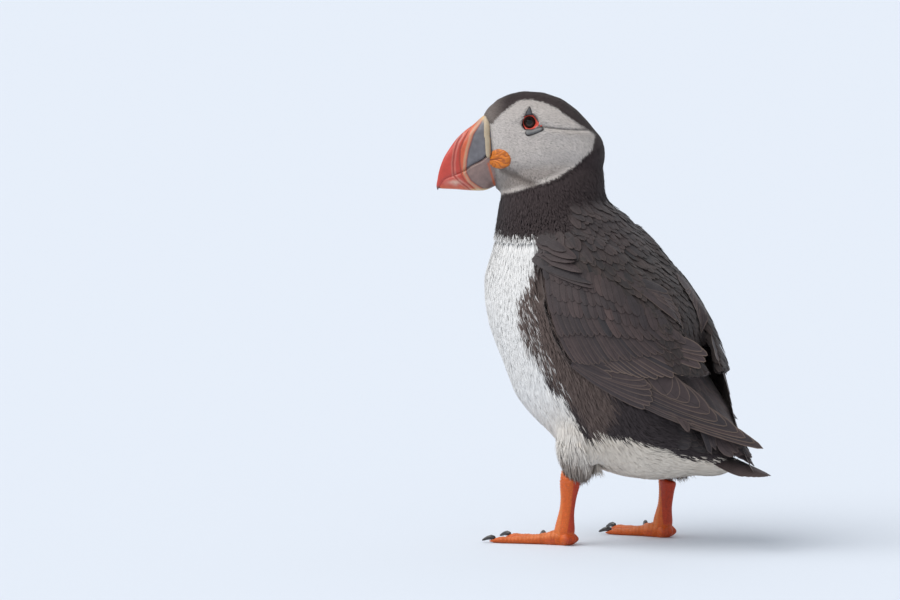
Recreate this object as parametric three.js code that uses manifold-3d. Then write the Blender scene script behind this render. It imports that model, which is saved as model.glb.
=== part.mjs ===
// Atlantic puffin (Fratercula arctica), adult in summer plumage, standing, at life size.
// Millimetres, +Z up. The body faces -Y, its left side is +X, and the head is turned to the bird's left.
// The origin is on the ground at the middle of the bird's bounding box. The dimensions below are
// given from a point of the ground between the feet, and the whole bird is moved at the end.
// Each solid gives the outer shape of the plumage, horn or bare skin that it stands for.
// A spot given as [forward, height] is in the side view; a third number is its x.

import * as THREE from "three";
import { mergeVertices } from "three/addons/utils/BufferGeometryUtils.js";
import Module from "manifold-3d";

const wasm = await Module();
wasm.setup();

// ---------------------------------------------------------------- driving dimensions, in mm

const seam = 0.3; // gap between neighbouring solids
const headTurn = 33; // degrees, how far the head is turned to the left
const headCentre = [43, 197.6]; // middle of the skull
const boxMiddle = [-4.1, 0.6]; // x and y of the middle of the bird's box, before it is set on the origin

// Girth stations along a form. at: the middle line's own places.
// back, front and side are the distances from there to the surface, square to the line.
const trunkStations = [
  { at: [-68, 41.5] },
  { at: [-52.5, 47], back: 12, front: 12.5, side: 14 },
  { at: [-32, 57], back: 27, front: 30.5, side: 30 },
  { at: [-14, 72], back: 41, front: 47, side: 40 },
  { at: [-1, 90], back: 48, front: 52.5, side: 44.5 },
  { at: [9, 110], back: 46.5, front: 57, side: 44.5 },
  { at: [19, 129], back: 40.5, front: 58.5, side: 42 },
  { at: [28, 146], back: 34.5, front: 51.5, side: 36.5 },
  { at: [35, 161], back: 25.5, front: 34, side: 29.5 },
  { at: [38.5, 175], back: 24.8, front: 27, side: 25 },
  { at: [40.5, 188], back: 21.5, front: 22, side: 18.5 },
  { at: [41.5, 203] },
];
const neckTwist = { from: 0.65, to: 0.9 }; // where along the trunk's line the section turns with the head

// The outer surface of both folded wings, from the tips of the primaries to the shoulders.
const cloakStations = [
  { at: [-87, 48] },
  { at: [-75, 54], back: 6, front: 6, side: 11 },
  { at: [-60, 61.5], back: 13, front: 14, side: 21.5 },
  { at: [-42, 71], back: 27.5, front: 28, side: 32.5 },
  { at: [-24, 82], back: 38.5, front: 44, side: 41.5 },
  { at: [-8, 95], back: 42, front: 52, side: 47.5 },
  { at: [6, 110], back: 43.5, front: 56, side: 48.5 },
  { at: [18, 128], back: 42, front: 57, side: 46 },
  { at: [27, 145], back: 35.5, front: 50, side: 40.5 },
  { at: [35, 161], back: 27, front: 34, side: 32 },
  { at: [42, 176] },
];
const wingThickness = 4.6;
const primariesBelow = 1.2; // the primaries lie this far under the coverts' surface

// The coverts, secondaries and tertials of a folded wing: bend, lower edge, tips, groove under the scapulars.
const wingOutline = [
  [22, 140],
  [15.5, 121],
  [9, 106],
  [2.5, 97],
  [-5, 92.5],
  [-26, 93.5],
  [-46, 89],
  [-56, 87],
  [-66, 90],
  [-66, 100],
  [-54, 111],
  [-43, 124],
  [-29, 141],
  [-12, 153.5],
  [6, 157],
  [18, 153],
];
// The bare strip of the mantle between them, [x, height] seen from behind, on the bird's left.
const mantleEdge = [
  [24, 162],
  [17, 150],
  [13, 133],
  [12, 105],
  [7, 94],
  [2.5, 85],
  [2.5, 40],
];
// The primaries below and behind them. The right wing is folded a little tighter.
const primariesLower = [
  [-3, 97],
  [-5, 91],
  [-21, 79.5],
  [-38.5, 70.5],
  [-52, 61],
  [-70, 54],
];
const primariesTip = {
  left: [[-84.5, 50], [-86, 52], [-75, 61.5], [-66.5, 73.5], [-63.5, 86]],
  right: [[-81, 50.5], [-82, 52], [-64.5, 61.5], [-57.5, 73.5], [-57.5, 86]],
};
const primariesUpper = [
  [-56, 96],
  [-26, 98],
];

const tailStations = [
  { at: [-40, 52] },
  { at: [-53, 49], back: 5, front: 5, side: 12.5 },
  { at: [-65, 46], back: 4, front: 4, side: 15.5 },
  { at: [-78, 42.5], back: 2.8, front: 2.8, side: 15.5 },
  { at: [-90, 37.5] },
];

// Head stations, from the nape to the root of the bill, in the head's own frame.
const headStations = [
  { at: [-29, -5] },
  { at: [-24.5, -4], back: 9, front: 15, side: 14 },
  { at: [-17.5, -3], back: 16.2, front: 21, side: 18.2 },
  { at: [-8, -2], back: 23.6, front: 25, side: 20 },
  { at: [1.5, -1.5], back: 27.2, front: 25.5, side: 20.5 },
  { at: [11.5, -2], back: 27.6, front: 24.5, side: 18.5 },
  { at: [20, -3], back: 25.6, front: 22, side: 13.6 },
  { at: [27.5, -4.5], back: 20, front: 19.5, side: 8.4 },
  { at: [34, -5] },
];
const headFromNeck = { at: [-2.5, -12.5], towards: [0.46, 0.89] }; // cut, chin to nape, head's frame
const neckFromTrunk = { at: [35, 160], towards: [0.36, 0.93] }; // cut across the base of the neck

// The bill's outline in the head's frame: culmen, hook, lower edge, root.
const billOutline = [
  [24, 17],
  [31.5, 13.6],
  [36, 9.6],
  [40.5, 6.2],
  [44.5, 2.4],
  [48, -2.4],
  [51, -7.3],
  [53, -12.5],
  [54.2, -18],
  [54.6, -22.6],
  [53.9, -23.6],
  [52.2, -22.9],
  [46, -23],
  [36, -23.8],
  [30, -23.6],
  [25, -21],
  [20, -3],
];
const billMiddle = [33, -7];
const billHalfWidth = { root: 7.6, tip: 1.5 }; // at the root's face and at the hook
const billTaper = { from: 26, length: 29, power: 1.3 };
const billHalfDepth = 19;
const billRoot = { top: [28.6, 14.5], bottom: [25.2, -23] }; // the flat face where horn meets plumage
const mouthLine = [
  [16, -5.5],
  [29, -5.5],
  [32.3, -8.1],
  [37, -10.6],
  [41.5, -14],
  [46, -16],
  [50.8, -18.4],
  [53.2, -22],
  [58, -30],
];
const cereDepth = 2.8; // of the pale ridge round the bill's root, front to back
const cereProud = 0.7;

const eye = { at: [8.4, 12.4], radius: 4.6, opening: 2.95, ring: 0.45 };
const plateProud = 1; // half the thickness of the horn plates above and below the eye
const upperPlate = [
  [10.6, 15.8],
  [8.3, 20.1],
  [6.8, 15.8],
];
const lowerPlate = [
  [10.4, 8.3],
  [9.6, 6.1],
  [5.8, 6.7],
  [2.7, 8.3],
  [1.6, 9.8],
  [4.6, 8.8],
];
const rosette = { at: [23, -6.8], thickness: 1.6 };
const rosetteOutline = [
  [28.4, -7.6],
  [26.8, -3.4],
  [22.8, -1.7],
  [18.8, -3.4],
  [17.8, -7.2],
  [19.8, -10.8],
  [23.6, -11.6],
  [27, -10.2],
];

// Legs. hip and ankle are the ends of the feathered part, sole is below the joint of the toes.
const stance = {
  left: { x: 27, hip: [-2, 78], ankle: [10.5, 36], sole: 15, toeOut: -8 },
  right: { x: -27, hip: [-18, 74], ankle: [-12.8, 31], sole: -9, toeOut: 16 },
};
// Girths of the feathered thigh: share is the place from hip to ankle, forward is its bow.
const thighGirths = [
  { share: 0, forward: 0 },
  { share: 0.3, forward: -1, back: 19, front: 17, side: 14 },
  { share: 0.6, forward: -1, back: 15.5, front: 15, side: 12 },
  { share: 0.85, forward: -2, back: 12, front: 11.5, side: 9.5 },
  { share: 1.08, forward: -2 },
];
const hipInward = 0.8; // the hip's distance from the middle, as a share of the ankle's
// Half depths of the bare shank: share is the place from ankle to toes.
const shankDepths = [
  { share: -0.4 },
  { share: -0.15, depth: 4.5 },
  { share: 0.1, depth: 4.5 },
  { share: 0.4, depth: 3.9 },
  { share: 0.7, depth: 3.9 },
  { share: 0.95, depth: 4.3 },
  { share: 1.2, depth: 4.3 },
  { share: 1.4 },
];
const shankWidth = 0.615; // as a share of its depth
const toeJointHeight = 4;
const footTop = 6.5; // height of the cut between leg and foot
const toes = [
  { name: "inner", angle: 29, length: 28, claw: 6 }, // angle towards the bird's middle, degrees
  { name: "middle", angle: 0, length: 36, claw: 6.5 },
  { name: "outer", angle: -29, length: 36, claw: 6 },
];
const toeRadius = { root: 3, tip: 1.9 };
const toeSunk = 0.9; // the toe's middle line is this share of its radius above the ground: its sole is flat
const heelBehind = 7;
const clawRoot = 1.5; // how far the claw's form starts inside the toe
const clawArch = [
  { share: 0.3, height: 2.8, thick: 1.3, wide: 1.15 },
  { share: 0.55, height: 2.7, thick: 1.15, wide: 1 },
  { share: 0.8, height: 2.2, thick: 0.9, wide: 0.8 },
];
const clawEnds = { root: 2.6, tip: 0.9, past: 1.5 }; // heights, and how far the form runs past the tip
const webThickness = 1.3;
const webNotch = 0.87; // how far the web reaches between two toes, as a share of their length
const webBow = [
  { share: 0.25, reach: 1.04 },
  { share: 0.5, reach: 1 },
  { share: 0.75, reach: 1.04 },
]; // the shape of the web's edge between two toes

// ---------------------------------------------------------------- shape tools

const right = new THREE.Vector3(1, 0, 0);
const up = new THREE.Vector3(0, 0, 1);
const blockSize = 400; // larger than the bird
const radians = THREE.MathUtils.degToRad;
const spot = ([forward, height, x = 0]) => new THREE.Vector3(x, -forward, height);

// A geometry as a manifold solid.
function solid(geometry) {
  const bare = geometry.clone();
  bare.deleteAttribute("normal");
  bare.deleteAttribute("uv");
  const merged = mergeVertices(bare, 1e-4);
  const mesh = {
    numProp: 3,
    vertProperties: merged.getAttribute("position").array,
    triVerts: new Uint32Array(merged.index.array),
  };
  const made = new wasm.Manifold(new wasm.Mesh(mesh));
  if (made.volume() > 0) return made;
  mesh.triVerts.reverse(); // the shape was mirrored as it was made
  return new wasm.Manifold(new wasm.Mesh(mesh));
}

// A sphere whose poles are the ends of a line and whose girth follows the stations along it.
// turn is the twist of the section about Z at each place along the line, and grow swells the form evenly.
function bodyForm(stations, { around, along, turn = () => 0, grow = 0 }) {
  const last = stations.length - 1;
  const line = new THREE.CatmullRomCurve3(stations.map((s) => spot(s.at)));
  const fullness = (i) => 2 * Math.sqrt((i / last) * (1 - i / last)); // of an ellipsoid there
  const inner = stations
    .slice(1, -1)
    .map((s, i) => new THREE.Vector3(s.back, s.front, s.side).divideScalar(fullness(i + 1)));
  const girth = new THREE.CatmullRomCurve3([inner[0], ...inner, inner.at(-1)]);
  const form = new THREE.SphereGeometry(1, around, along);
  const points = form.getAttribute("position");
  const unit = new THREE.Vector3();
  for (let i = 0; i < points.count; i++) {
    unit.fromBufferAttribute(points, i);
    const t = (1 - unit.y) / 2;
    const tangent = line.getTangent(t);
    const across = right.clone().applyAxisAngle(up, turn(t));
    const dorsal = tangent.clone().cross(right).normalize().applyAxisAngle(up, turn(t));
    const radii = girth.getPoint(t);
    const depth = (unit.z > 0 ? radii.x : radii.y) + grow;
    const place = line
      .getPoint(t)
      .addScaledVector(dorsal, depth * unit.z)
      .addScaledVector(across, (radii.z + grow) * unit.x)
      .addScaledVector(tangent, -grow * unit.y);
    points.setXYZ(i, place.x, place.y, place.z);
  }
  return solid(form);
}

// A cushion-like form: an outline in the side view with a bulge from -1 to 1 across it.
// place turns a spot of the side view and a bulge into a point.
function pillow(outline, middle, place, { around, rings }) {
  const edge = new THREE.CatmullRomCurve3(outline.map(spot), true);
  const centre = spot(middle);
  const form = new THREE.SphereGeometry(1, around, rings);
  const points = form.getAttribute("position");
  const unit = new THREE.Vector3();
  for (let i = 0; i < points.count; i++) {
    unit.fromBufferAttribute(points, i);
    const reach = Math.hypot(unit.x, unit.z);
    const share = (Math.atan2(unit.z, unit.x) / (2 * Math.PI) + 1) % 1;
    const { y, z } = centre.clone().lerp(edge.getPoint(share), reach);
    const p = place(-y, z, unit.y);
    points.setXYZ(i, p.x, p.y, p.z);
  }
  return solid(form);
}

// An outline of the side view, filled from x = from to x = to.
function prism(outline, from, to, smooth = 0) {
  const flat = outline.map(([forward, height]) => new THREE.Vector2(-forward, height));
  const edge = smooth ? new THREE.SplineCurve([...flat, flat[0]]).getPoints(smooth) : flat;
  const face = new THREE.Shape(edge);
  const block = new THREE.ExtrudeGeometry(face, { depth: to - from, bevelEnabled: false });
  block.rotateX(Math.PI / 2).rotateZ(Math.PI / 2).translate(from, 0, 0);
  return solid(block);
}

// All that lies on one side of a plane square to the side view. The plane passes through at,
// and the block is on the side that towards points to, half a seam away from the plane.
function beyond({ at, towards }, side = 1) {
  const way = new THREE.Vector3(0, -towards[0], towards[1]).normalize().multiplyScalar(side);
  const block = new THREE.BoxGeometry(blockSize, blockSize, blockSize);
  block.translate(0, 0, (blockSize + seam) / 2);
  block.applyQuaternion(new THREE.Quaternion().setFromUnitVectors(up, way));
  return solid(block.translate(0, -at[0], at[1]));
}

// The same for one side of the middle plane: side is 1 for the bird's left and -1 for its right.
function flank(side) {
  const block = new THREE.BoxGeometry(blockSize, blockSize, blockSize);
  return solid(block.translate((side * blockSize) / 2, 0, 0));
}

function placed(body, matrix) {
  return body.transform(matrix.elements);
}

// ---------------------------------------------------------------- finishes

const finish = (color, roughness) => new THREE.MeshStandardMaterial({ color, roughness, metalness: 0 });
const plumage = {
  dark: finish(0x3a3331, 0.9),
  face: finish(0xcfcbc6, 0.9),
  white: finish(0xeeeeec, 0.9),
};
const billRed = finish(0xc8402c, 0.45);
const billGrey = finish(0x5f6672, 0.5);
const cereCream = finish(0xcbbf9a, 0.5);
const rosetteYellow = finish(0xe59a1c, 0.6);
const ringRed = finish(0xb8352a, 0.6);
const plateSlate = finish(0x4d5259, 0.5);
const eyeBrown = finish(0x1c1512, 0.1);
const footOrange = finish(0xd9581f, 0.6);
const clawDark = finish(0x2e2b2a, 0.4);

const bird = new THREE.Group();

function meshGeometry(body) {
  const { numProp, vertProperties, triVerts } = body.getMesh();
  const geometry = new THREE.BufferGeometry();
  geometry.setAttribute("position", new THREE.BufferAttribute(vertProperties, numProp));
  geometry.setIndex(new THREE.BufferAttribute(triVerts, 1));
  return geometry;
}

function add(name, body, material) {
  const geometry = meshGeometry(body);
  geometry.computeVertexNormals();
  const mesh = new THREE.Mesh(geometry, material);
  mesh.name = name;
  bird.add(mesh);
}

const sides = [
  { word: "left", sign: 1 },
  { word: "right", sign: -1 },
];

// ---------------------------------------------------------------- forms shared by several parts

const toHead = new THREE.Matrix4().makeRotationZ(radians(headTurn)).setPosition(spot(headCentre));
const inHead = (body) => placed(body, toHead);

const trunkForm = (grow = 0) =>
  bodyForm(trunkStations, {
    around: 26,
    along: 30,
    grow,
    turn: (t) => radians(headTurn) * THREE.MathUtils.smoothstep(t, neckTwist.from, neckTwist.to),
  });
const cloakForm = (grow = 0) => bodyForm(cloakStations, { around: 24, along: 25, grow });
const headForm = (grow = 0) => bodyForm(headStations, { around: 20, along: 16, grow });

function thighForm({ x, hip, ankle }, grow = 0) {
  const stations = thighGirths.map(({ share, forward, ...girth }) => ({
    at: [
      THREE.MathUtils.lerp(hip[0], ankle[0], share) + forward,
      THREE.MathUtils.lerp(hip[1], ankle[1], share),
      x * THREE.MathUtils.lerp(hipInward, 1, share),
    ],
    ...girth,
  }));
  return bodyForm(stations, { around: 16, along: 9, grow });
}

function shankForm({ x, ankle, sole, toeOut }) {
  const stations = shankDepths.map(({ share, depth }) => ({
    at: [
      THREE.MathUtils.lerp(ankle[0], sole, share),
      THREE.MathUtils.lerp(ankle[1], toeJointHeight, share),
      x,
    ],
    back: depth,
    front: depth,
    side: depth * shankWidth,
  }));
  return bodyForm(stations, { around: 10, along: 10, turn: () => radians(toeOut) * Math.sign(x) });
}

// The head's form as a mesh, to find where its surface lies.
const bothSides = new THREE.MeshBasicMaterial({ side: THREE.DoubleSide });
const skull = new THREE.Mesh(meshGeometry(headForm()), bothSides);

// A point of the head's side, above a spot of its side view, and the way that the surface faces there.
function onFace([forward, height], sign) {
  const from = new THREE.Vector3(sign * blockSize, -forward, height);
  const hit = new THREE.Raycaster(from, new THREE.Vector3(-sign, 0, 0)).intersectObject(skull)[0];
  const out = hit.face.normal.clone();
  if (out.x * sign < 0) out.negate();
  return { point: hit.point, out };
}

// A flat outline as a plate that stands across the head's side at a spot and follows its slope.
function facePlate(outline, at, sign, halfThickness, smooth) {
  const { point, out } = onFace(at, sign);
  const plate = prism(outline.map(([f, h]) => [f - at[0], h - at[1]]), -halfThickness, halfThickness, smooth);
  const slope = new THREE.Quaternion().setFromUnitVectors(new THREE.Vector3(sign, 0, 0), out);
  return placed(plate, new THREE.Matrix4().compose(point, slope, new THREE.Vector3(1, 1, 1)));
}

// ---------------------------------------------------------------- bill

const rootPlane = {
  at: billRoot.top,
  towards: [billRoot.top[1] - billRoot.bottom[1], billRoot.bottom[0] - billRoot.top[0]],
};
const behindRoot = beyond(rootPlane, -1);
const cereFront = {
  at: [billRoot.top[0] + cereDepth, billRoot.top[1]],
  towards: rootPlane.towards,
};

function billForm(grow = 0) {
  const place = (forward, height, bulge) => {
    const along = THREE.MathUtils.clamp((forward - billTaper.from) / billTaper.length, 0, 1);
    const { root, tip } = billHalfWidth;
    const halfWidth = THREE.MathUtils.lerp(root, tip, along ** billTaper.power) + grow;
    return new THREE.Vector3(bulge * halfWidth, -forward, height);
  };
  const swell = 1 + grow / billHalfDepth;
  const outline = billOutline.map(([f, h]) => [
    billMiddle[0] + (f - billMiddle[0]) * swell,
    billMiddle[1] + (h - billMiddle[1]) * swell,
  ]);
  return pillow(outline, billMiddle, place, { around: 28, rings: 8 });
}

const mouthCurve = new THREE.SplineCurve(mouthLine.map(([f, h]) => new THREE.Vector2(f, h)));
const mouthPoints = mouthCurve.getPoints(mouthLine.length * 3).map(({ x, y }) => [x, y]);
// All that lies above the line of the mouth, or below it, with side -1.
const mouthHalf = (gap, side = 1) => {
  const outline = mouthPoints.map(([f, h]) => [f, h + side * gap]);
  const far = (forward) => [forward, side * blockSize];
  return prism([...outline, far(mouthLine.at(-1)[0]), far(mouthLine[0][0])], -blockSize, blockSize);
};

const horn = billForm().intersect(beyond(rootPlane));
const cere = billForm(cereProud)
  .intersect(beyond(rootPlane))
  .intersect(beyond(cereFront, -1))
  .intersect(mouthHalf(seam / 2));
add("bill_upper", inHead(horn.intersect(mouthHalf(seam / 2)).intersect(beyond(cereFront))), billRed);
add("bill_lower", inHead(horn.intersect(mouthHalf(seam / 2, -1))), billRed);
add("cere", inHead(cere), cereCream);

// ---------------------------------------------------------------- head, neck and trunk

let flesh = trunkForm().add(inHead(headForm().intersect(behindRoot)));

for (const { word, sign } of sides) {
  const { point, out } = onFace(eye.at, sign);
  const depth = Math.sqrt(eye.radius ** 2 - eye.opening ** 2);
  const middle = point.clone().addScaledVector(out, -depth);
  const sphere = (radius, { x, y, z }) => solid(new THREE.SphereGeometry(radius, 13, 7).translate(x, y, z));
  const rim = new THREE.TorusGeometry(eye.opening + eye.ring, eye.ring, 5, 11);
  rim.applyQuaternion(new THREE.Quaternion().setFromUnitVectors(up, out));
  rim.translate(point.x, point.y, point.z);
  const rimClear = sphere(eye.opening + 2 * eye.ring + seam, point);
  const eyeClear = sphere(eye.radius + seam, middle);
  const covered = headForm(seam).add(eyeClear);
  const plate = (outline) => facePlate(outline, eye.at, sign, plateProud).subtract(rimClear);
  add(`eye_${word}`, inHead(sphere(eye.radius, middle)), eyeBrown);
  add(`eye_ring_${word}`, inHead(solid(rim).subtract(covered)), ringRed);
  add(`eye_plate_upper_${word}`, inHead(plate(upperPlate).subtract(covered)), plateSlate);
  add(`eye_plate_lower_${word}`, inHead(plate(lowerPlate).subtract(covered)), plateSlate);
  flesh = flesh.subtract(inHead(eyeClear));

  const corner = facePlate(rosetteOutline, rosette.at, sign, rosette.thickness, rosetteOutline.length * 3);
  const clear = headForm(seam).add(billForm(seam)).add(billForm(cereProud + seam).intersect(mouthHalf(0)));
  add(`gape_rosette_${word}`, inHead(corner.subtract(clear)), rosetteYellow);
}

const aboveChin = (side) => inHead(beyond(headFromNeck, side));
add("head", flesh.intersect(aboveChin(1)), plumage.face);
add("neck", flesh.intersect(aboveChin(-1)).intersect(beyond(neckFromTrunk)), plumage.dark);

// ---------------------------------------------------------------- wings, tail and thighs

const trunkClear = trunkForm(seam);

const strip = [...mantleEdge, ...mantleEdge.map(([x, height]) => [-x, height]).reverse()];
const mantle = solid(
  new THREE.ExtrudeGeometry(new THREE.Shape(strip.map(([x, height]) => new THREE.Vector2(x, height))), {
    depth: 2 * blockSize,
    bevelEnabled: false,
  })
    .rotateX(Math.PI / 2)
    .translate(0, blockSize, 0),
);
const coverts = prism(wingOutline, -blockSize, blockSize);
const tips = prism(wingOutline.map(([f, h]) => [f, h - seam]), -blockSize, blockSize).add(coverts);
const shell = cloakForm().subtract(cloakForm(-wingThickness)).subtract(trunkClear).subtract(mantle);
const under = shell.intersect(cloakForm(-primariesBelow)).subtract(tips);

for (const { word, sign } of sides) {
  const quills = prism([...primariesLower, ...primariesTip[word], ...primariesUpper], -blockSize, blockSize);
  add(`wing_${word}`, shell.intersect(coverts).intersect(flank(sign)), plumage.dark);
  add(`primaries_${word}`, under.intersect(quills).intersect(flank(sign)), plumage.dark);
}

for (const { word } of sides) {
  add(`thigh_${word}`, thighForm(stance[word]).subtract(trunkClear), plumage.white);
}
add("tail", bodyForm(tailStations, { around: 12, along: 8 }).subtract(trunkClear), plumage.dark);
add("trunk", flesh.intersect(beyond(neckFromTrunk, -1)), plumage.white);

// ---------------------------------------------------------------- legs, feet and claws

const ground = solid(new THREE.BoxGeometry(blockSize, blockSize, blockSize).translate(0, 0, blockSize / 2));
const aboveCut = beyond({ at: [0, footTop], towards: [0, 1] });
const belowCut = beyond({ at: [0, footTop], towards: [0, 1] }, -1);

function toeForm({ length }) {
  const { root, tip } = toeRadius;
  const along = (share) => {
    const radius = THREE.MathUtils.lerp(root, tip, share);
    return { at: [length * share, radius * toeSunk], back: radius, front: radius, side: radius };
  };
  const heel = { at: [-heelBehind, root] };
  const end = { at: [length + root, tip * toeSunk] };
  return bodyForm([heel, ...[0, 0.3, 0.6, 0.95].map(along), end], { around: 7, along: 6 });
}

function clawForm({ length, claw }, grow = 0) {
  const from = length - clawRoot;
  const stations = [
    { at: [from, clawEnds.root] },
    ...clawArch.map(({ share, height, thick, wide }) => ({
      at: [from + share * claw, height],
      back: thick,
      front: thick,
      side: wide,
    })),
    { at: [from + claw + clawEnds.past, clawEnds.tip] },
  ];
  return bodyForm(stations, { around: 7, along: 5, grow });
}

function webForm(sign) {
  const ray = (angle, reach) => {
    const turn = radians(angle) * sign;
    return new THREE.Vector2(-Math.sin(turn) * reach, -Math.cos(turn) * reach);
  };
  const edge = [];
  toes.forEach((toe, i) => {
    edge.push(ray(toe.angle, toe.length));
    const next = toes[i + 1];
    if (!next) return;
    const notch = (webNotch * (toe.length + next.length)) / 2;
    for (const { share, reach } of webBow) {
      edge.push(ray(THREE.MathUtils.lerp(toe.angle, next.angle, share), notch * reach));
    }
  });
  const face = new THREE.Shape([new THREE.Vector2(0, toeRadius.root), ...edge]);
  return solid(new THREE.ExtrudeGeometry(face, { depth: webThickness, bevelEnabled: false }));
}

for (const { word, sign } of sides) {
  const { x, sole, toeOut } = stance[word];
  const stand = new THREE.Matrix4().makeRotationZ(radians(toeOut) * sign).setPosition(spot([sole, 0, x]));
  const fan = (toe) => new THREE.Matrix4().makeRotationZ(-radians(toe.angle) * sign);
  const shank = shankForm(stance[word]);
  let foot = webForm(sign);
  for (const toe of toes) foot = foot.add(placed(toeForm(toe), fan(toe)));
  foot = placed(foot, stand).add(shank.intersect(belowCut)).intersect(ground).intersect(belowCut);
  for (const toe of toes) {
    const claw = (grow) => placed(placed(clawForm(toe, grow), fan(toe)), stand);
    foot = foot.subtract(claw(seam));
    add(`claw_${word}_${toe.name}`, claw(0).intersect(ground), clawDark);
  }
  add(`foot_${word}`, foot, footOrange);
  add(`leg_${word}`, shank.subtract(thighForm(stance[word], seam)).intersect(aboveCut), footOrange);
}

bird.position.set(-boxMiddle[0], -boxMiddle[1], 0);
export default bird;
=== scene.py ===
# Atlantic puffin: skin, plumage, bill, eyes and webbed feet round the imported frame.
# Lengths are in millimetres until they reach a mesh. A side spot is (forward, height).
import math

import bmesh
import bpy
import numpy as np
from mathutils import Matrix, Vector, noise
from mathutils.bvhtree import BVHTree
from mathutils.kdtree import KDTree


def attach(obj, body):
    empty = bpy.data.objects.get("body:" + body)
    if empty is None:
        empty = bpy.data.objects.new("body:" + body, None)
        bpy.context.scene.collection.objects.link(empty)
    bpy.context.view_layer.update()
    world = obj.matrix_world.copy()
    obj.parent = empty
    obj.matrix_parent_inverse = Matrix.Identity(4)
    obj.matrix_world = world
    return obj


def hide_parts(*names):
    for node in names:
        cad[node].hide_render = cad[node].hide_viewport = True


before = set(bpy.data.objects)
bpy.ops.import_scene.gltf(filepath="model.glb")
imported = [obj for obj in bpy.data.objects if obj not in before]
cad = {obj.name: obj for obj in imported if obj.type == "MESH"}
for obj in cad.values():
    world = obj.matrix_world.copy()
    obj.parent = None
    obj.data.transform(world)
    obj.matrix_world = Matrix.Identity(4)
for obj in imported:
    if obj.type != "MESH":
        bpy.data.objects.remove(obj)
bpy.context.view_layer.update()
mm = 0.001
chance = np.random.default_rng(11)
sides = {"left": 1, "right": -1}
scene = bpy.context.scene

# camera and light

shot = {
    "azimuth": 123,
    "elevation": 6,
    "lens": 500,
    "sensor": 36,
    "width": 450,  # of the picture, at the bird
    "aim": (-84, 120.5),  # right of and above the point of the ground between the feet
    "between": (4.1, -0.6),  # that point's x and y
    "clipEnd": 40,  # metres
}
light = {
    "sky": (0.93, 0.96, 1.0),
    "skyStrength": 0.68,
    "key": 2.1,
    "keyColor": (1.0, 0.975, 0.945),
    "keyFrom": (0.75, -0.75, 1.35),
    "keyAngle": 55,
    "floor": (0.69, 0.745, 0.825),
}


def placed(name, data):
    made = bpy.data.objects.new(name, data)
    scene.collection.objects.link(made)
    return made


def turned(thing, way, axis):
    thing.rotation_mode = "QUATERNION"
    thing.rotation_quaternion = Vector(way).to_track_quat(axis, "Y")


turn, tilt = math.radians(shot["azimuth"]), math.radians(shot["elevation"])
pictureRight = np.array((math.cos(turn), math.sin(turn), 0.0))
toCamera = np.array((math.sin(turn) * math.cos(tilt), -math.cos(turn) * math.cos(tilt), math.sin(tilt)))
pictureUp = np.cross(toCamera, pictureRight)
aim = np.array((*shot["between"], 0.0)) + pictureRight * shot["aim"][0] + pictureUp * shot["aim"][1]

cameraData = bpy.data.cameras.new("camera")
cameraData.lens = shot["lens"]
cameraData.sensor_width = shot["sensor"]
cameraData.clip_end = shot["clipEnd"]
camera = placed("camera", cameraData)
camera.location = Vector((aim + toCamera * shot["width"] * shot["lens"] / shot["sensor"]) * mm)
turned(camera, -toCamera, "-Z")
scene.camera = camera

keyData = bpy.data.lights.new("key", "SUN")
keyData.energy = light["key"]
keyData.color = light["keyColor"]
keyData.angle = math.radians(light["keyAngle"])
turned(placed("key", keyData), light["keyFrom"], "Z")

scene.world = bpy.data.worlds.new("sky")
scene.world.use_nodes = True
background = scene.world.node_tree.nodes["Background"]
background.inputs["Color"].default_value = (*light["sky"], 1)
background.inputs["Strength"].default_value = light["skyStrength"]
scene.view_settings.view_transform = "Standard"

# materials


def material(name, roughness, **sockets):
    made = bpy.data.materials.new(name)
    made.use_nodes = True
    for socket, value in {"Roughness": roughness, **sockets}.items():
        dress(made, socket.replace("_", " "), value)
    return made


def feed(made, target, socket, source):
    # a socket takes a plain value, or another node's output as (node, output)
    if isinstance(source, tuple) and hasattr(source[0], "outputs"):
        made.node_tree.links.new(source[0].outputs[source[1]], target.inputs[socket])
    else:
        target.inputs[socket].default_value = source


def dress(made, socket, source):
    feed(made, made.node_tree.nodes["Principled BSDF"], socket, source)


def node(made, kind, **settings):
    new = made.node_tree.nodes.new("ShaderNode" + kind)
    for key, value in settings.items():
        if key in new.inputs:
            feed(made, new, key, value)
        else:
            setattr(new, key, value)
    return new


def mixed(made, way, factor, first, second):
    new = node(made, "Mix", data_type="RGBA", blend_type=way)
    for socket, value in ((0, factor), (6, first), (7, second)):
        feed(made, new, socket, value)
    return new, 2


def calculated(made, operation, *values, clamp=False):
    new = node(made, "Math", operation=operation, use_clamp=clamp)
    for place, value in enumerate(values):
        feed(made, new, place, value)
    return new, 0


def speckle(made, scale, detail, contrast):
    # soft noise, and a shade round 1 made from it
    spread = node(made, "TexNoise", Scale=scale, Detail=detail, Vector=(node(made, "TexCoord"), "Object")), 0
    return spread, calculated(made, "MULTIPLY_ADD", spread, contrast, 1 - contrast / 2)


def shaded(made, shade):
    # the tone painted on the points, times a shade
    return mixed(made, "MULTIPLY", 1.0, (node(made, "Attribute", attribute_name="tone"), "Color"), shade)


def addBump(made, source, strength, depth):
    bump = node(made, "Bump", Strength=strength, Distance=depth, Height=source)
    dress(made, "Normal", (bump, "Normal"))


def downFinish():
    made = material("softDown", 0.9, Sheen_Weight=0.1, Sheen_Roughness=0.5, Specular_IOR_Level=0.15)
    dress(made, "Base Color", shaded(made, speckle(made, 260, 3, 0.2)[1]))
    return made


vaneLook = {
    "slant": -0.9,  # of the barbs
    "barbs": 9.0,
    "barbShade": 0.08,
    "border": 1.35,  # the fringe's strength at the rim, and its fall inwards
    "borderFall": -1.9,
    "fringe": (0.19, 0.135, 0.105, 1),
    "shaft": (0.016, 0.012, 0.011, 1),
    "shaftHalf": 0.16,
    "shaftStrength": 0.55,
}


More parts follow.
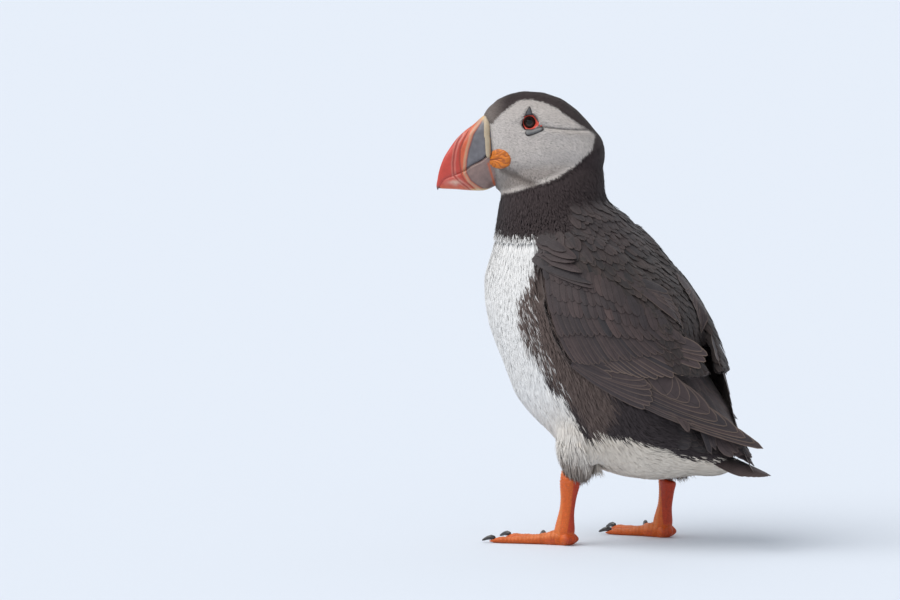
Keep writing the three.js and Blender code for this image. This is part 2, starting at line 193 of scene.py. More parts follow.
def vaneFinish():
    # the attribute "vane" holds, in millimetres: along the shaft, across from it, and in from the rim
    made = material("featherVane", 0.58, Sheen_Weight=0.08, Sheen_Roughness=0.5, Specular_IOR_Level=0.3)
    parts = node(made, "SeparateXYZ", Vector=(node(made, "Attribute", attribute_name="vane"), "Vector"))
    out = calculated(made, "ABSOLUTE", (parts, 1))
    slant = calculated(made, "MULTIPLY_ADD", out, vaneLook["slant"], (parts, 0))
    barb = calculated(made, "SINE", calculated(made, "MULTIPLY", slant, vaneLook["barbs"]))
    barbShade = calculated(made, "MULTIPLY_ADD", barb, vaneLook["barbShade"], 0.97)
    base = shaded(made, calculated(made, "MULTIPLY", barbShade, speckle(made, 300, 4, 0.7)[1]))
    rim, fall = (parts, 2), vaneLook["borderFall"]
    border = calculated(made, "MULTIPLY_ADD", rim, fall, vaneLook["border"], clamp=True)
    edging = node(made, "Attribute", attribute_name="edging")
    border = calculated(made, "MULTIPLY", border, (edging, "Fac"), clamp=True)
    base = mixed(made, "MIX", border, base, vaneLook["fringe"])
    onShaft = calculated(made, "LESS_THAN", out, vaneLook["shaftHalf"])
    onShaft = calculated(made, "MULTIPLY", onShaft, vaneLook["shaftStrength"])
    dress(made, "Base Color", mixed(made, "MIX", onShaft, base, vaneLook["shaft"]))
    addBump(made, barb, 0.3, 0.0002)
    return made


def hornFinish(name, roughness, coat=0.15):
    made = material(name, roughness, Coat_Weight=coat, Coat_Roughness=0.25)
    spread, shade = speckle(made, 160, 4, 0.5)
    dress(made, "Base Color", shaded(made, shade))
    addBump(made, spread, 0.25, 0.0002)
    return made


def scalyFinish(name, roughness, scales, depth):
    made = material(name, roughness, Specular_IOR_Level=0.4)
    place = node(made, "TexCoord"), "Object"
    cells = node(made, "TexVoronoi", Scale=scales, feature="DISTANCE_TO_EDGE", Vector=place)
    seam = calculated(made, "MULTIPLY", (cells, 0), 9.0, clamp=True)
    dress(made, "Base Color", shaded(made, calculated(made, "MULTIPLY_ADD", seam, 0.25, 0.78)))
    addBump(made, seam, 0.5, depth)
    return made


finish = {
    "down": downFinish(),
    "vane": vaneFinish(),
    "horn": hornFinish("billHorn", 0.36, 0.2),
    "plate": hornFinish("slateHorn", 0.42),
    "cere": hornFinish("creamHorn", 0.5),
    "claw": hornFinish("clawHorn", 0.3, 0.3),
    "wattle": hornFinish("gapeSkin", 0.5, 0.1),
    "lid": hornFinish("lidSkin", 0.45, 0.2),
    "leg": scalyFinish("legSkin", 0.42, 900, 0.00015),
    "eye": material("wetEye", 0.08, Specular_IOR_Level=0.42),
    "floor": material("paleFloor", 0.8, Base_Color=(*light["floor"], 1)),
}
dress(finish["eye"], "Base Color", (node(finish["eye"], "Attribute", attribute_name="tone"), "Color"))

# mesh tools


def asPiece(name, mesh, made, replaced=(), thin=False):
    piece = placed(name, mesh)
    mesh.materials.clear()
    mesh.materials.append(made)
    mesh.shade_smooth()
    if thin:
        mesh.set_sharp_from_angle(angle=math.radians(55))
    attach(piece, "root")
    if replaced:
        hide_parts(*replaced)


def pointsOf(mesh, what="co", scale=mm):
    found = np.empty(len(mesh.vertices) * 3)
    mesh.vertices.foreach_get(what, found)
    return found.reshape(-1, 3) / scale


def normalsOf(mesh):
    return pointsOf(mesh, "normal", 1.0)


def setPoints(mesh, points):
    mesh.vertices.foreach_set("co", (points * mm).ravel())
    mesh.update()


def setTone(mesh, colors):
    full = np.ones((len(colors), 4))
    full[:, :3] = colors
    mesh.color_attributes.new("tone", "FLOAT_COLOR", "POINT").data.foreach_set("color", full.ravel())


def meshFrom(name, bm):
    mesh = bpy.data.meshes.new(name)
    bm.to_mesh(mesh)
    bm.free()
    return mesh


def wrapped(name, around, along, place):
    # a grid laid round a form: place turns its two shares into points, and meeting edges are merged
    bm = bmesh.new()
    bmesh.ops.create_grid(bm, x_segments=around, y_segments=along, size=0.5)
    share = np.array([v.co for v in bm.verts]) + 0.5
    for vert, point in zip(bm.verts, place(share[:, 0], share[:, 1]) * mm):
        vert.co = point
    bmesh.ops.remove_doubles(bm, verts=bm.verts, dist=0.004 * mm)
    bmesh.ops.recalc_face_normals(bm, faces=bm.faces)
    return meshFrom(name, bm)


def grown(nodeName, by):
    # a copy of a CAD node, its points merged, swelled to close the gaps to its neighbours
    bm = bmesh.new()
    bm.from_mesh(cad[nodeName].data)
    bmesh.ops.remove_doubles(bm, verts=bm.verts, dist=0.01 * mm)
    bm.normal_update()
    for vert in bm.verts:
        vert.co += vert.normal * by * mm
    return meshFrom(nodeName + "Copy", bm)


def union(name, meshes, voxel, rounds):
    # meshes melted into one closed, even mesh
    bm = bmesh.new()
    for mesh in meshes:
        bm.from_mesh(mesh)
    melt = placed(name, meshFrom(name, bm))
    remesh = melt.modifiers.new("remesh", "REMESH")
    remesh.mode = "VOXEL"
    remesh.voxel_size = voxel * mm
    smooth = melt.modifiers.new("smooth", "SMOOTH")
    smooth.factor = 0.5
    smooth.iterations = rounds
    made = bpy.data.meshes.new_from_object(melt.evaluated_get(bpy.context.evaluated_depsgraph_get()))
    bpy.data.objects.remove(melt)
    made.name = name
    return made


def surfaceOf(mesh):
    # a function that drops points onto the mesh and tells which way it faces there
    places, normals = pointsOf(mesh), normalsOf(mesh)
    tree = KDTree(len(places))
    for index, place in enumerate(places):
        tree.insert(place, index)
    tree.balance()

    def land(points):
        near = np.fromiter((tree.find(p)[1] for p in points), int, len(points))
        normal = normals[near]
        off = ((points - places[near]) * normal).sum(1, keepdims=True)
        return points - normal * off, normal

    return land


def curve(points, share):
    # a smooth line through the points, at shares of its length
    points = np.asarray(points, float)
    step = np.linalg.norm(np.diff(points, axis=0), axis=1)
    at = np.concatenate(([0], np.cumsum(step))) / step.sum()
    slope = np.gradient(points, at, axis=0)
    share = np.clip(np.atleast_1d(share), 0, 1)
    index = np.clip(np.searchsorted(at, share, side="right") - 1, 0, len(at) - 2)
    width = (at[index + 1] - at[index])[:, None]
    t = ((share - at[index]) / width[:, 0])[:, None]
    a, b = points[index], points[index + 1]
    da, db = slope[index] * width, slope[index + 1] * width
    rise = 3 * t**2 - 2 * t**3
    return a * (2 * t**3 - 3 * t**2 + 1) + da * (t**3 - 2 * t**2 + t) + b * rise + db * (t**3 - t**2)


def lineDistance(spots, line):
    # distance from flat spots to a line through points
    line = np.asarray(line, float)
    best = np.full(len(spots), 1e9)
    for a, b in zip(line[:-1], line[1:]):
        run = b - a
        t = np.clip(((spots - a) @ run) / (run @ run), 0, 1)[:, None]
        best = np.minimum(best, np.linalg.norm(spots - a - t * run, axis=1))
    return best


def inside(spots, outline):
    # signed distance to a closed outline, positive inside it
    ring = np.array([*outline, outline[0]], float)
    crossed = np.zeros(len(spots), bool)
    for a, b in zip(ring[:-1], ring[1:]):
        straddles = (a[1] > spots[:, 1]) != (b[1] > spots[:, 1])
        rise = b[1] - a[1] if b[1] != a[1] else 1e-9
        crossed ^= straddles & (spots[:, 0] < (b[0] - a[0]) * (spots[:, 1] - a[1]) / rise + a[0])
    return np.where(crossed, 1, -1) * lineDistance(spots, ring)


def blend(value, low, high):
    t = np.clip((value - low) / (high - low), 0, 1)
    return t * t * (3 - 2 * t)


def hill(distance, width):
    return np.exp(-((distance / width) ** 2))


def unit(vectors):
    return vectors / np.maximum(np.linalg.norm(vectors, axis=1, keepdims=True), 1e-9)


def onSurface(vectors, normals):
    # directions pressed flat onto the surface
    return unit(vectors - normals * (vectors * normals).sum(1, keepdims=True))


def towards(base, tint, amount):
    return base + (tint - base) * np.clip(amount, 0, 1)[:, None]


def mottle(spots, size, seed=0.0):
    # soft noise over flat spots, about -1 to 1
    return np.array([noise.noise(Vector((f / size, z / size, seed))) for f, z in spots]) * 1.6


# the head's own frame: forward along the bill, height, and x to the bird's left

head = {"centre": (4.1, -43.6, 197.6), "turn": math.radians(33)}
headForward = np.array((math.sin(head["turn"]), -math.cos(head["turn"]), 0.0))
headLeft = np.array((math.cos(head["turn"]), math.sin(head["turn"]), 0.0))
middleX = 4.1  # of the body


def fromHead(forward, height, x):
    forward, height, x = (np.atleast_1d(v)[:, None] for v in (forward, height, x))
    return np.array(head["centre"]) + headForward * forward + headLeft * x + np.array((0, 0, 1.0)) * height


def inHead(points):
    off = points - head["centre"]
    return off @ headForward, off[:, 2], off @ headLeft


def headSpots(points):
    return np.column_stack(inHead(points)[:2])


def sideSpots(points):
    return np.column_stack((-points[:, 1], points[:, 2]))


def crownward(spots):
    # how far a spot of the head lies towards its crown
    return spots[:, 0] * 0.46 + spots[:, 1] * 0.89


def fromLegs(points):
    # distance from the nearer leg, seen from above
    return np.minimum(*(np.hypot(-points[:, 1] - f, points[:, 0] - x) for f, x in ((12, 31), (-12, -23))))


# markings, shared by the skin and the plumage

tones = {
    "dark": (0.038, 0.028, 0.027),
    "crown": (0.057, 0.043, 0.043),
    "forehead": (0.24, 0.205, 0.185),
    "collar": (0.046, 0.034, 0.035),
    "face": (0.60, 0.555, 0.525),
    # the face's colour in painted shade, for the jaw's fold and the lower cheek
    "cheekShade": (0.125, 0.100, 0.088),
    "white": (0.765, 0.76, 0.75),
    "cream": (0.69, 0.625, 0.545),
    "flank": (0.105, 0.078, 0.070),
    "under": (0.042, 0.034, 0.036),
    "streak": (0.42, 0.40, 0.39),
    "fringe": (0.23, 0.19, 0.165),
    "thigh": (0.60, 0.59, 0.58),
}
tones = {name: np.array(color) for name, color in tones.items()}
faceOutline = [
    (26.6, 10.6), (22.9, 15.0), (16.8, 19.8), (12.6, 22.2), (7.6, 22.5), (1.5, 21.2), (-5.4, 18.2),
    (-11.5, 13.7), (-17.2, 9.8), (-21.8, 6.7), (-24.3, 4.7), (-23.0, -2.1), (-17.2, -7.2), (-13.4, -10.6),
    (-5.8, -15.4), (1.9, -18.4), (11.4, -21.5), (17.2, -23.5), (21.0, -24.6), (24, -30), (34, -30), (34, 9),
]
whiteOutline = [
    (95, 152), (59.4, 152.3), (50.4, 151.9), (38.4, 152.0), (29.6, 152.6), (24.6, 152.9), (27.6, 147.9),
    (26.8, 142.1), (27.4, 138.1), (30.0, 128.0), (35.8, 120.1), (35.1, 107.6), (27.3, 97.2), (19.6, 90.5),
    (18.6, 84.5), (17.5, 79.0), (10.0, 76.8), (5.0, 75.5), (5.2, 72.0), (2.0, 62.0), (-3.5, 53.5),
    (-8.0, 54.5), (-11.0, 58.1), (-28.2, 54.5), (-35.9, 51.6), (-47.0, 46.4), (-55.0, 45.5), (-77.2, 42.9),
    (-95, 41), (-95, -20), (95, -20),
]
flankOutline = [
    (37, 124), (36, 107), (27, 96), (14, 83), (2, 72), (-4, 58), (-9, 52), (-16, 62), (-22, 71), (-18, 80),
    (-3, 92), (4, 102), (9, 115), (14, 129), (22, 138), (28, 136),
]
# the jaw's fold: a groove in the skin, with painted shade along it
jawFoldLine = [(21.6, -12.6), (16.8, -14.3), (12, -16.4), (7.1, -17.8), (3.5, -18)]
streakOutline = [(40, 126), (38, 106), (28, 94), (12, 84), (6, 84), (14, 96), (22, 108), (26, 126), (28, 140)]
creaseLine = [(3.5, 10.2), (1.5, 10.1), (-1.9, 9.2), (-5.8, 8.8), (-9.6, 8.3), (-14.9, 8.0), (-20, 7.6)]


def markings(points):
    spots, side, nearLeg = headSpots(points), sideSpots(points), fromLegs(points)
    (forward, height), (along, up) = spots.T, side.T
    dark = towards(tones["dark"], tones["under"], blend(up, 92, 80))
    dark = towards(dark, tones["flank"], blend(inside(side, flankOutline), -2, 3))
    dark = towards(dark, tones["collar"], blend(up, 148, 156))
    pale = towards(tones["white"], tones["cream"], blend(along * 0.4 + up, 90, 48))
    pale = towards(pale, tones["thigh"], 0.5 * blend(nearLeg, 18, 12) * blend(up, 62, 52))
    pale = towards(pale, tones["fringe"], 0.9 * blend(nearLeg, 16, 11) * blend(up, 47, 39))
    body = towards(dark, pale, blend(inside(side, whiteOutline), -0.8, 0.8))
    inFace = inside(spots, faceOutline)
    # painted shade: the face darkens along the jaw's fold and towards the lower cheek, which turns away from
    # the light
    cheekShade = 0.86 * hill(lineDistance(spots, jawFoldLine), 3.4) * blend(forward, 0, 8)
    cheekShade = np.maximum(cheekShade, 0.58 * blend(height, -4, -16) * blend(inFace, 0.8, 3.0))
    pale = towards(tones["face"], tones["cheekShade"], cheekShade)
    # painted shade in the crease behind the eye
    pale = pale * (1 - 0.6 * hill(lineDistance(spots, creaseLine), 0.55))[:, None]
    top = towards(tones["crown"], tones["forehead"], blend(forward, 18, 31) * blend(height, 9, 13))
    face = blend(inFace, -0.5, 0.5) * (height > -34) * (crownward(spots) > -22)
    onHead = np.where(face > 0, 1, blend(crownward(spots), -14.5, -13.5))
    return towards(body, towards(top, pale, face), onHead)


# skin

skinPlan = {
    "voxel": 1.15,
    "rounds": 10,
    "grow": 0.25,
    "bodyCoat": 2.3,  # how far the plumage stands out from the skin
    "headCoat": 0.75,
    "headFills": [((-28.5, -12.5), 2.6, 8), ((13, 26), 0.6, 9)],  # where, how far out and how wide
    "bodyFills": [((80, 137), 3.6, 21), ((50, 70), 3.8, 18), ((-22, 150), -3.2, 17), ((-6, 164), -2.4, 10)],
    "forehead": [(31.7, 12.4), (31.3, 14.3), (30.4, 15.7), (29.2, 17.4), (27.7, 19.2), (25.3, 21.6)],
}
fleshNodes = ("trunk", "neck", "head", "thigh_left", "thigh_right", "wing_left", "wing_right")
flesh = [grown(nodeName, skinPlan["grow"]) for nodeName in fleshNodes]
skinMesh = union("skin", flesh, skinPlan["voxel"], skinPlan["rounds"])


def coatDepth(points):
    spots = headSpots(points)
    onHead = blend(crownward(spots), -30, -8)
    depth = skinPlan["bodyCoat"] * (1 - onHead) + skinPlan["headCoat"] * onHead
    toBill = blend(spots[:, 0], 18, 27) * onHead
    return depth * (1 - 0.6 * toBill)


def fillHollows(mesh):
    points, normals = pointsOf(mesh), normalsOf(mesh)
    push = np.zeros(len(points))
    for fills, spots in (("headFills", headSpots(points)), ("bodyFills", sideSpots(points))):
        for place, out, reach in skinPlan[fills]:
            push += out * hill(np.hypot(*(spots - place).T), reach)
    points = points + normals * push[:, None]
    forward, height, x = inHead(points)
    wanted = np.array(skinPlan["forehead"])
    levels = np.linspace(11, 22, 12)
    reached = [forward[(np.abs(height - level) < 0.8) & (np.abs(x) < 2.5)].max() for level in levels]
    shift = np.interp(height, wanted[:, 1], wanted[:, 0]) - np.interp(height, levels, reached)
    shift *= hill(x, 4.5) * blend(forward, 16, 27) * blend(height, 9, 12.5) * blend(height, 25, 20)
    setPoints(mesh, points + headForward * shift[:, None])


fillHollows(skinMesh)
outerMesh = skinMesh.copy()
landOuter = surfaceOf(outerMesh)
outerTree = BVHTree.FromPolygons(
    [v.co[:] for v in outerMesh.vertices], [tuple(p.vertices) for p in outerMesh.polygons]
)

eyeSpot = np.array((8.3, 11.7))
lidOutline = [
    (10.8, 14.6), (8.4, 15.3), (6.2, 15.0), (5.2, 13.6), (3.9, 12.0), (1.9, 10.3), (4.5, 9.2), (7.4, 8.1),
    (10.0, 8.2), (11.0, 9.6), (11.45, 11.7), (11.1, 13.4),
]
upperPlate = [(10.2, 14.7), (8.4, 15.2), (6.7, 15.1), (7.2, 17.4), (8.3, 19.9), (9.6, 17.7), (10.2, 16.2)]
lowerPlate = [
    (10.7, 8.4), (10.6, 6.7), (9.6, 5.5), (6.4, 5.9), (3.1, 7.3), (1.3, 8.9), (1.7, 10.0), (4.7, 9.2),
    (7.5, 8.3),
]


def shapeSkin():
    # sunk by the coat's depth, with the crease, the cheek, the eye's hollow and its rims, and raised thighs
    points, normals = pointsOf(skinMesh), normalsOf(skinMesh)
    points = points - normals * coatDepth(points)[:, None]
    forward, height, x = inHead(points)
    spots = headSpots(points)
    crease = lineDistance(spots, creaseLine)
    fromEye = np.hypot(*(spots - eyeSpot).T)
    push = -1.0 * hill(crease, 0.9)
    push += 0.5 * hill(crease - 2.4, 1.8) * (height < creaseLine[2][1])
    push += 0.9 * np.exp(-(((forward - 2) / 10) ** 2 + ((height + 6) / 7) ** 2))
    push -= 0.9 * hill(lineDistance(spots, jawFoldLine), 1.8)
    push -= 0.45 * hill(fromEye, 4.0)
    push += 0.4 * hill(fromEye - 7.0, 2.2) * (height > eyeSpot[1])
    points = points + normals * (push * blend(np.abs(x), 9, 14))[:, None]
    points[:, 2] += 0.38 * np.clip(46 - points[:, 2], 0, None) * blend(fromLegs(points), 20, 12)
    setPoints(skinMesh, points)


shapeSkin()
setTone(skinMesh, markings(pointsOf(skinMesh)) * 0.8)
asPiece("skin", skinMesh, finish["down"], fleshNodes)
landSkin = surfaceOf(skinMesh)
print("skin", len(skinMesh.polygons))


def cheekX(forward, height, side):
    # how far out the coat's surface lies at spots of the head's side view
    found = np.full(len(forward), np.nan)
    starts = fromHead(forward, height, np.full(len(forward), side * 60.0))
    for index, start in enumerate(starts):
        hit = outerTree.ray_cast(Vector(start * mm), Vector(-side * headLeft))[0]
        if hit:
            found[index] = inHead(np.array(hit)[None] / mm)[2][0]
    return found


def gridOf(low, high, count):
    steps = [np.linspace(a, b, n) for a, b, n in zip(low, high, count)]
    return (g.ravel() for g in np.meshgrid(*steps))


def sheetOver(outline, side):
    # a smooth sheet fitted to the cheek round an outline: x and its slopes from forward and height
    low, high = np.min(outline, axis=0) - 1, np.max(outline, axis=0) + 1
    middle = (low + high) / 2
    forward, height = gridOf(low, high, (9, 9))
    x = cheekX(forward, height, side)
    seen = np.isfinite(x)

    def terms(f, h):
        f, h = f - middle[0], h - middle[1]
        return np.column_stack((np.ones_like(f), f, h, f * f, f * h, h * h))

    weights = np.linalg.lstsq(terms(forward, height)[seen], x[seen], rcond=None)[0]

    def place(spots, lift):
        f, h = spots.T
        x, step = terms(f, h) @ weights, 0.05
        slopeF = (terms(f + step, h) @ weights - x) / step
        slopeH = (terms(f, h + step) @ weights - x) / step
        normal = unit(np.column_stack((-slopeF, -slopeH, np.ones_like(x))) * side)
        return fromHead(f + normal[:, 0] * lift, h + normal[:, 1] * lift, x + normal[:, 2] * lift)

    return place


# plumage: closed tufts that lie along the body

flow = [  # where (x, forward, height), and which way the plumage lies there
    ((0, 62, 219), (-1.0, 0.1)), ((0, 45, 224), (-1.0, 0.0)), ((0, 22, 212), (-0.75, -0.7)),
    ((0, 12, 195), (-0.25, -1.0)), ((20, 52, 208), (-1.0, -0.05)), ((20, 48, 195), (-0.9, -0.45)),
    ((18, 58, 190), (-0.9, -0.35)), ((15, 65, 178), (-0.7, -0.5)), ((20, 35, 200), (-0.95, -0.4)),
    ((0, 68, 172), (-0.3, -1.0)), ((24, 40, 172), (-0.35, -1.0)), ((26, 25, 168), (-0.45, -1.0)),
    ((0, 70, 150), (0.05, -1.0)), ((0, 78, 125), (0.0, -1.0)), ((30, 55, 130), (-0.25, -1.0)),
    ((44, 33, 115), (-0.55, -0.75)), ((40, 40, 100), (-0.45, -0.9)), ((0, 62, 90), (-0.3, -1.0)),
    ((20, 45, 70), (-0.5, -0.9)), ((0, 30, 48), (-0.9, -0.5)), ((0, -10, 32), (-1.0, -0.05)),
    ((0, -60, 38), (-1.0, 0.05)), ((44, 5, 85), (-0.45, -0.9)), ((44, -10, 65), (-0.55, -0.85)),
    ((30, -40, 55), (-0.95, -0.3)), ((29, 14, 55), (0.0, -1.0)), ((-22, -8, 55), (-0.1, -1.0)),
    ((0, 10, 158), (-0.55, -0.85)), ((0, -15, 135), (-0.6, -0.8)), ((0, -40, 100), (-0.6, -0.8)),
    ((0, -60, 65), (-0.85, -0.5)), ((48, 0, 120), (-0.75, -0.65)),
]
flowPlaces = np.array([(x, -f, z) for (x, f, z), way in flow], float)
flowWays = unit(np.array([(0, -df, dz) for place, (df, dz) in flow], float))
spine = [  # y, height and x, from tail to bill
    (78, 40, 0), (50, 48, 0), (14, 72, 2), (-9, 110, 3), (-28, 146, 4), (-38, 175, 4), (-45, 197, 6),
    (-77, 190, 26),
]
spine = np.array([(x, y, z) for y, z, x in spine], float)
patch = 0.003  # a tuft's size on the bake's map


def liesAlong(points, normals):
    # guides are given for one side and hold for both
    total = np.zeros_like(points)
    for mirror in (1, -1):
        for place, way in zip(flowPlaces, flowWays):
            off = points - place * (mirror, 1, 1)
            total += way / ((off**2).sum(1) + 30.0)[:, None] ** 2
    onHead = blend(crownward(headSpots(points)), -20, -5)[:, None]
    headed = total[:, 1:2] * -headForward + total * (0, 0, 1)
    return onSurface(total * (1 - onHead) + headed * onHead, normals)


def unwrapPlace(points):
    # angle round the spine against length along it
    step = np.linalg.norm(np.diff(spine, axis=0), axis=1)
    start = np.concatenate(([0], np.cumsum(step)))
    best = np.full(len(points), 1e9)
    place = np.zeros((len(points), 2))
    for index, (a, b) in enumerate(zip(spine[:-1], spine[1:])):
        run = (b - a) / step[index]
        t = np.clip((points - a) @ run, 0, step[index])
        off = points - a - t[:, None] * run
        gap = np.linalg.norm(off, axis=1)
        angle = np.arctan2(off[:, 0], off @ np.cross(run, (1, 0, 0)))
        closer = gap < best
        best = np.where(closer, gap, best)
        place[closer, 0] = 0.5 + angle[closer] / (2 * math.pi)
        place[closer, 1] = ((start[index] + t) / start[-1])[closer]
    return 0.02 + 0.96 * place


def addMap(mesh, corners):
    mesh.uv_layers.new(name="OFBake").data.foreach_set("uv", corners.astype(np.float32).ravel())


def arrayMesh(name, points, shape, count, each):
    # many copies of one closed shape of triangles, each with its own points
    faces = (shape[None] + (np.arange(count) * each)[:, None, None]).reshape(-1, 3)
    mesh = bpy.data.meshes.new(name)
    mesh.vertices.add(len(points))
    mesh.vertices.foreach_set("co", (points * mm).astype(np.float32).ravel())
    mesh.loops.add(faces.size)
    mesh.loops.foreach_set("vertex_index", faces.astype(np.int32).ravel())
    mesh.polygons.add(len(faces))
    mesh.polygons.foreach_set("loop_start", np.arange(0, faces.size, 3, dtype=np.int32))
    mesh.update(calc_edges=True)
    return mesh


# a tuft: two rings of left edge, right edge and ridge, then the tip
tuftFaces = np.array([
    (0, 2, 5), (0, 5, 3), (2, 1, 4), (2, 4, 5), (1, 0, 3), (1, 3, 4), (3, 5, 6), (5, 4, 6), (4, 3, 6),
    (0, 1, 2),
])
tuftMap = np.array([(0, 0), (0, 1), (0, 0.5), (0.5, 0), (0.5, 1), (0.5, 0.5), (1, 0.5)])
tuftShape = {
    "lift": ((0.55, 0.75, 0.5), (1.0, 1.0, 0.6)),  # middle and end: where, how high, how high if it hangs
    "rootWidth": 0.6,
    "ridge": 0.08,
    "rootDepth": 0.4,
    # painted shade: a tuft is darker at its root, where others cover it, and a little paler at its tip
    "shade": (0.82, 0.82, 0.9, 0.98, 0.98, 1.0, 1.06),
}


def tufts(name, roots, normals, ways, length, width, rise, colors, hang, contrast):
    across = np.cross(normals, ways)
    half = (width / 2)[:, None]
    rootHalf = half * tuftShape["rootWidth"]
    thick = width[:, None] * tuftShape["ridge"]
    base = roots - normals * tuftShape["rootDepth"]
    spots = []
    for share, lying, free in tuftShape["lift"]:
        straight = roots + ways * (length * share)[:, None]
        spot, up = landSkin(straight)
        spot = spot + up * (rise * lying)[:, None]
        spots.append(spot + (straight + normals * (rise * free)[:, None] - spot) * hang)
        if share < 1:
            middleUp = up
    middle, end = spots
    rings = (
        base - across * rootHalf, base + across * rootHalf, base + normals * thick,
        middle - across * half, middle + across * half, middle + middleUp * thick, end,
    )
    mesh = arrayMesh(name, np.stack(rings, 1).reshape(-1, 3), tuftFaces, len(roots), len(rings))
    # the painted root shade, weaker where contrast is small
    shade = 1 + (np.array(tuftShape["shade"]) - 1) * contrast
    setTone(mesh, (colors[:, None, :] * shade[None, :, None]).reshape(-1, 3))
    corner = tuftMap[tuftFaces.ravel()]
    addMap(mesh, (unwrapPlace(roots)[:, None, :] + (corner - 0.5)[None] * patch).reshape(-1, 2))
    asPiece(name, mesh, finish["down"], thin=True)
    print(name, len(roots), len(mesh.polygons))


def scattered(mesh, zoneFor, densities):
    # roots over a mesh, as many as their zone asks for
    mesh.calc_loop_triangles()
    corners = np.empty(len(mesh.loop_triangles) * 3, int)
    mesh.loop_triangles.foreach_get("vertices", corners)
    corners = corners.reshape(-1, 3)
    places, normals = pointsOf(mesh), normalsOf(mesh)
    a, b, c = (places[corners[:, k]] for k in range(3))
    na, nb, nc = (normals[corners[:, k]] for k in range(3))
    area = np.linalg.norm(np.cross(b - a, c - a), axis=1) / 2
    zone = zoneFor((a + b + c) / 3)
    number = np.floor(area * densities[zone] + chance.random(len(area))).astype(int)
    pick = np.repeat(np.arange(len(number)), number)
    r = chance.random((len(pick), 2))
    flip = r.sum(1) > 1
    r[flip] = 1 - r[flip]
    r = r[:, :, None]
    roots = a[pick] + (b - a)[pick] * r[:, 0] + (c - a)[pick] * r[:, 1]
    facing = unit(na[pick] + (nb - na)[pick] * r[:, 0] + (nc - na)[pick] * r[:, 1])
    return roots, facing, zone[pick]


def ofZones(table, place):
    return np.array([row[place] for row in table.values()])


zones = {  # tufts per mm2, their length, width, lift and unevenness, and the slot
    "none": (0.0, 1, 1, 0, 0, None),
    "face": (4.4, 2.0, 0.42, 0.55, 0.06, "plumage_face"),
    "crown": (6.0, 1.9, 0.42, 0.6, 0.08, "plumage_black"),
    "neck": (2.8, 4.4, 0.62, 0.75, 0.1, "plumage_black"),
    "breast": (1.75, 9.0, 0.85, 0.52, 0.02, "plumage_white"),
    "belly": (1.6, 9.5, 0.9, 0.58, 0.03, "plumage_white"),
    "flank": (2.0, 9.0, 0.75, 0.75, 0.14, "plumage_black"),
    "thighs": (3.2, 8.0, 0.7, 0.85, 0.3, "plumage_white"),
}
zoneNames = list(zones)
wingReach = [
    (17, 143), (8, 138), (-3, 134), (-15, 128), (-30, 119), (-43, 106), (-62, 100), (-62, 82), (-20, 84),
    (-2, 92), (4, 102), (8, 115), (12, 129),
]
flankReach = [
    (60, 140), (20, 139), (13, 128), (8, 115), (2, 102), (-6, 93), (-22, 78), (-40, 68), (-60, 58), (-90, 50),
    (-90, 20), (60, 20),
]
coatPlan = {
    "sway": (0.06, 0.12),  # of pale and dark tufts, from side to side
    "uneven": (0.015, 0.05),  # tone of pale and dark tufts
    "jitter": (0.2, 1.1),  # how far from its tip a tuft's tone is read, on the head and below
    "headFrom": 162,
    "toneAt": 0.66,
    "thighDrop": 1.6,
    "thighHang": 0.9,
    # how much of the painted root shade the white tufts take
    "paleContrast": 0.3,
    "streaks": 0.3,  # share of the flank's tufts, inside the streak's outline
    "vary": 0.15,  # length and width
}


def isBare(points):
    # the lids and the plates round the eye
    spots = headSpots(points)
    bare = np.max([inside(spots, outline) for outline in (lidOutline, upperPlate, lowerPlate)], axis=0)
    return (bare > -0.25) & (np.abs(inHead(points)[2]) > 6) & (spots[:, 1] > 0)


def zoneOf(points):
    spots, side = headSpots(points), sideSpots(points)
    up, white = side[:, 1], inside(side, whiteOutline) > 0
    zone = np.full(len(points), zoneNames.index("none"))
    for name, there in (
        ("neck", up > 148),
        ("crown", crownward(spots) > -12),
        ("breast", white & (up > 82)),
        ("belly", white & (up <= 82)),
        ("flank", ~white & (np.abs(points[:, 0]) > 12) & (up < 128) & (inside(side, flankReach) > 0)),
        ("none", (inside(side, wingReach) > 0) & (np.abs(points[:, 0] - 4) > 24)),
        ("thighs", (up < 56) & (fromLegs(points) < 14)),
        ("face", (inside(spots, faceOutline) > 0) & (crownward(spots) > -22)),
        ("none", isBare(points)),
    ):
        zone[there] = zoneNames.index(name)
    return zone


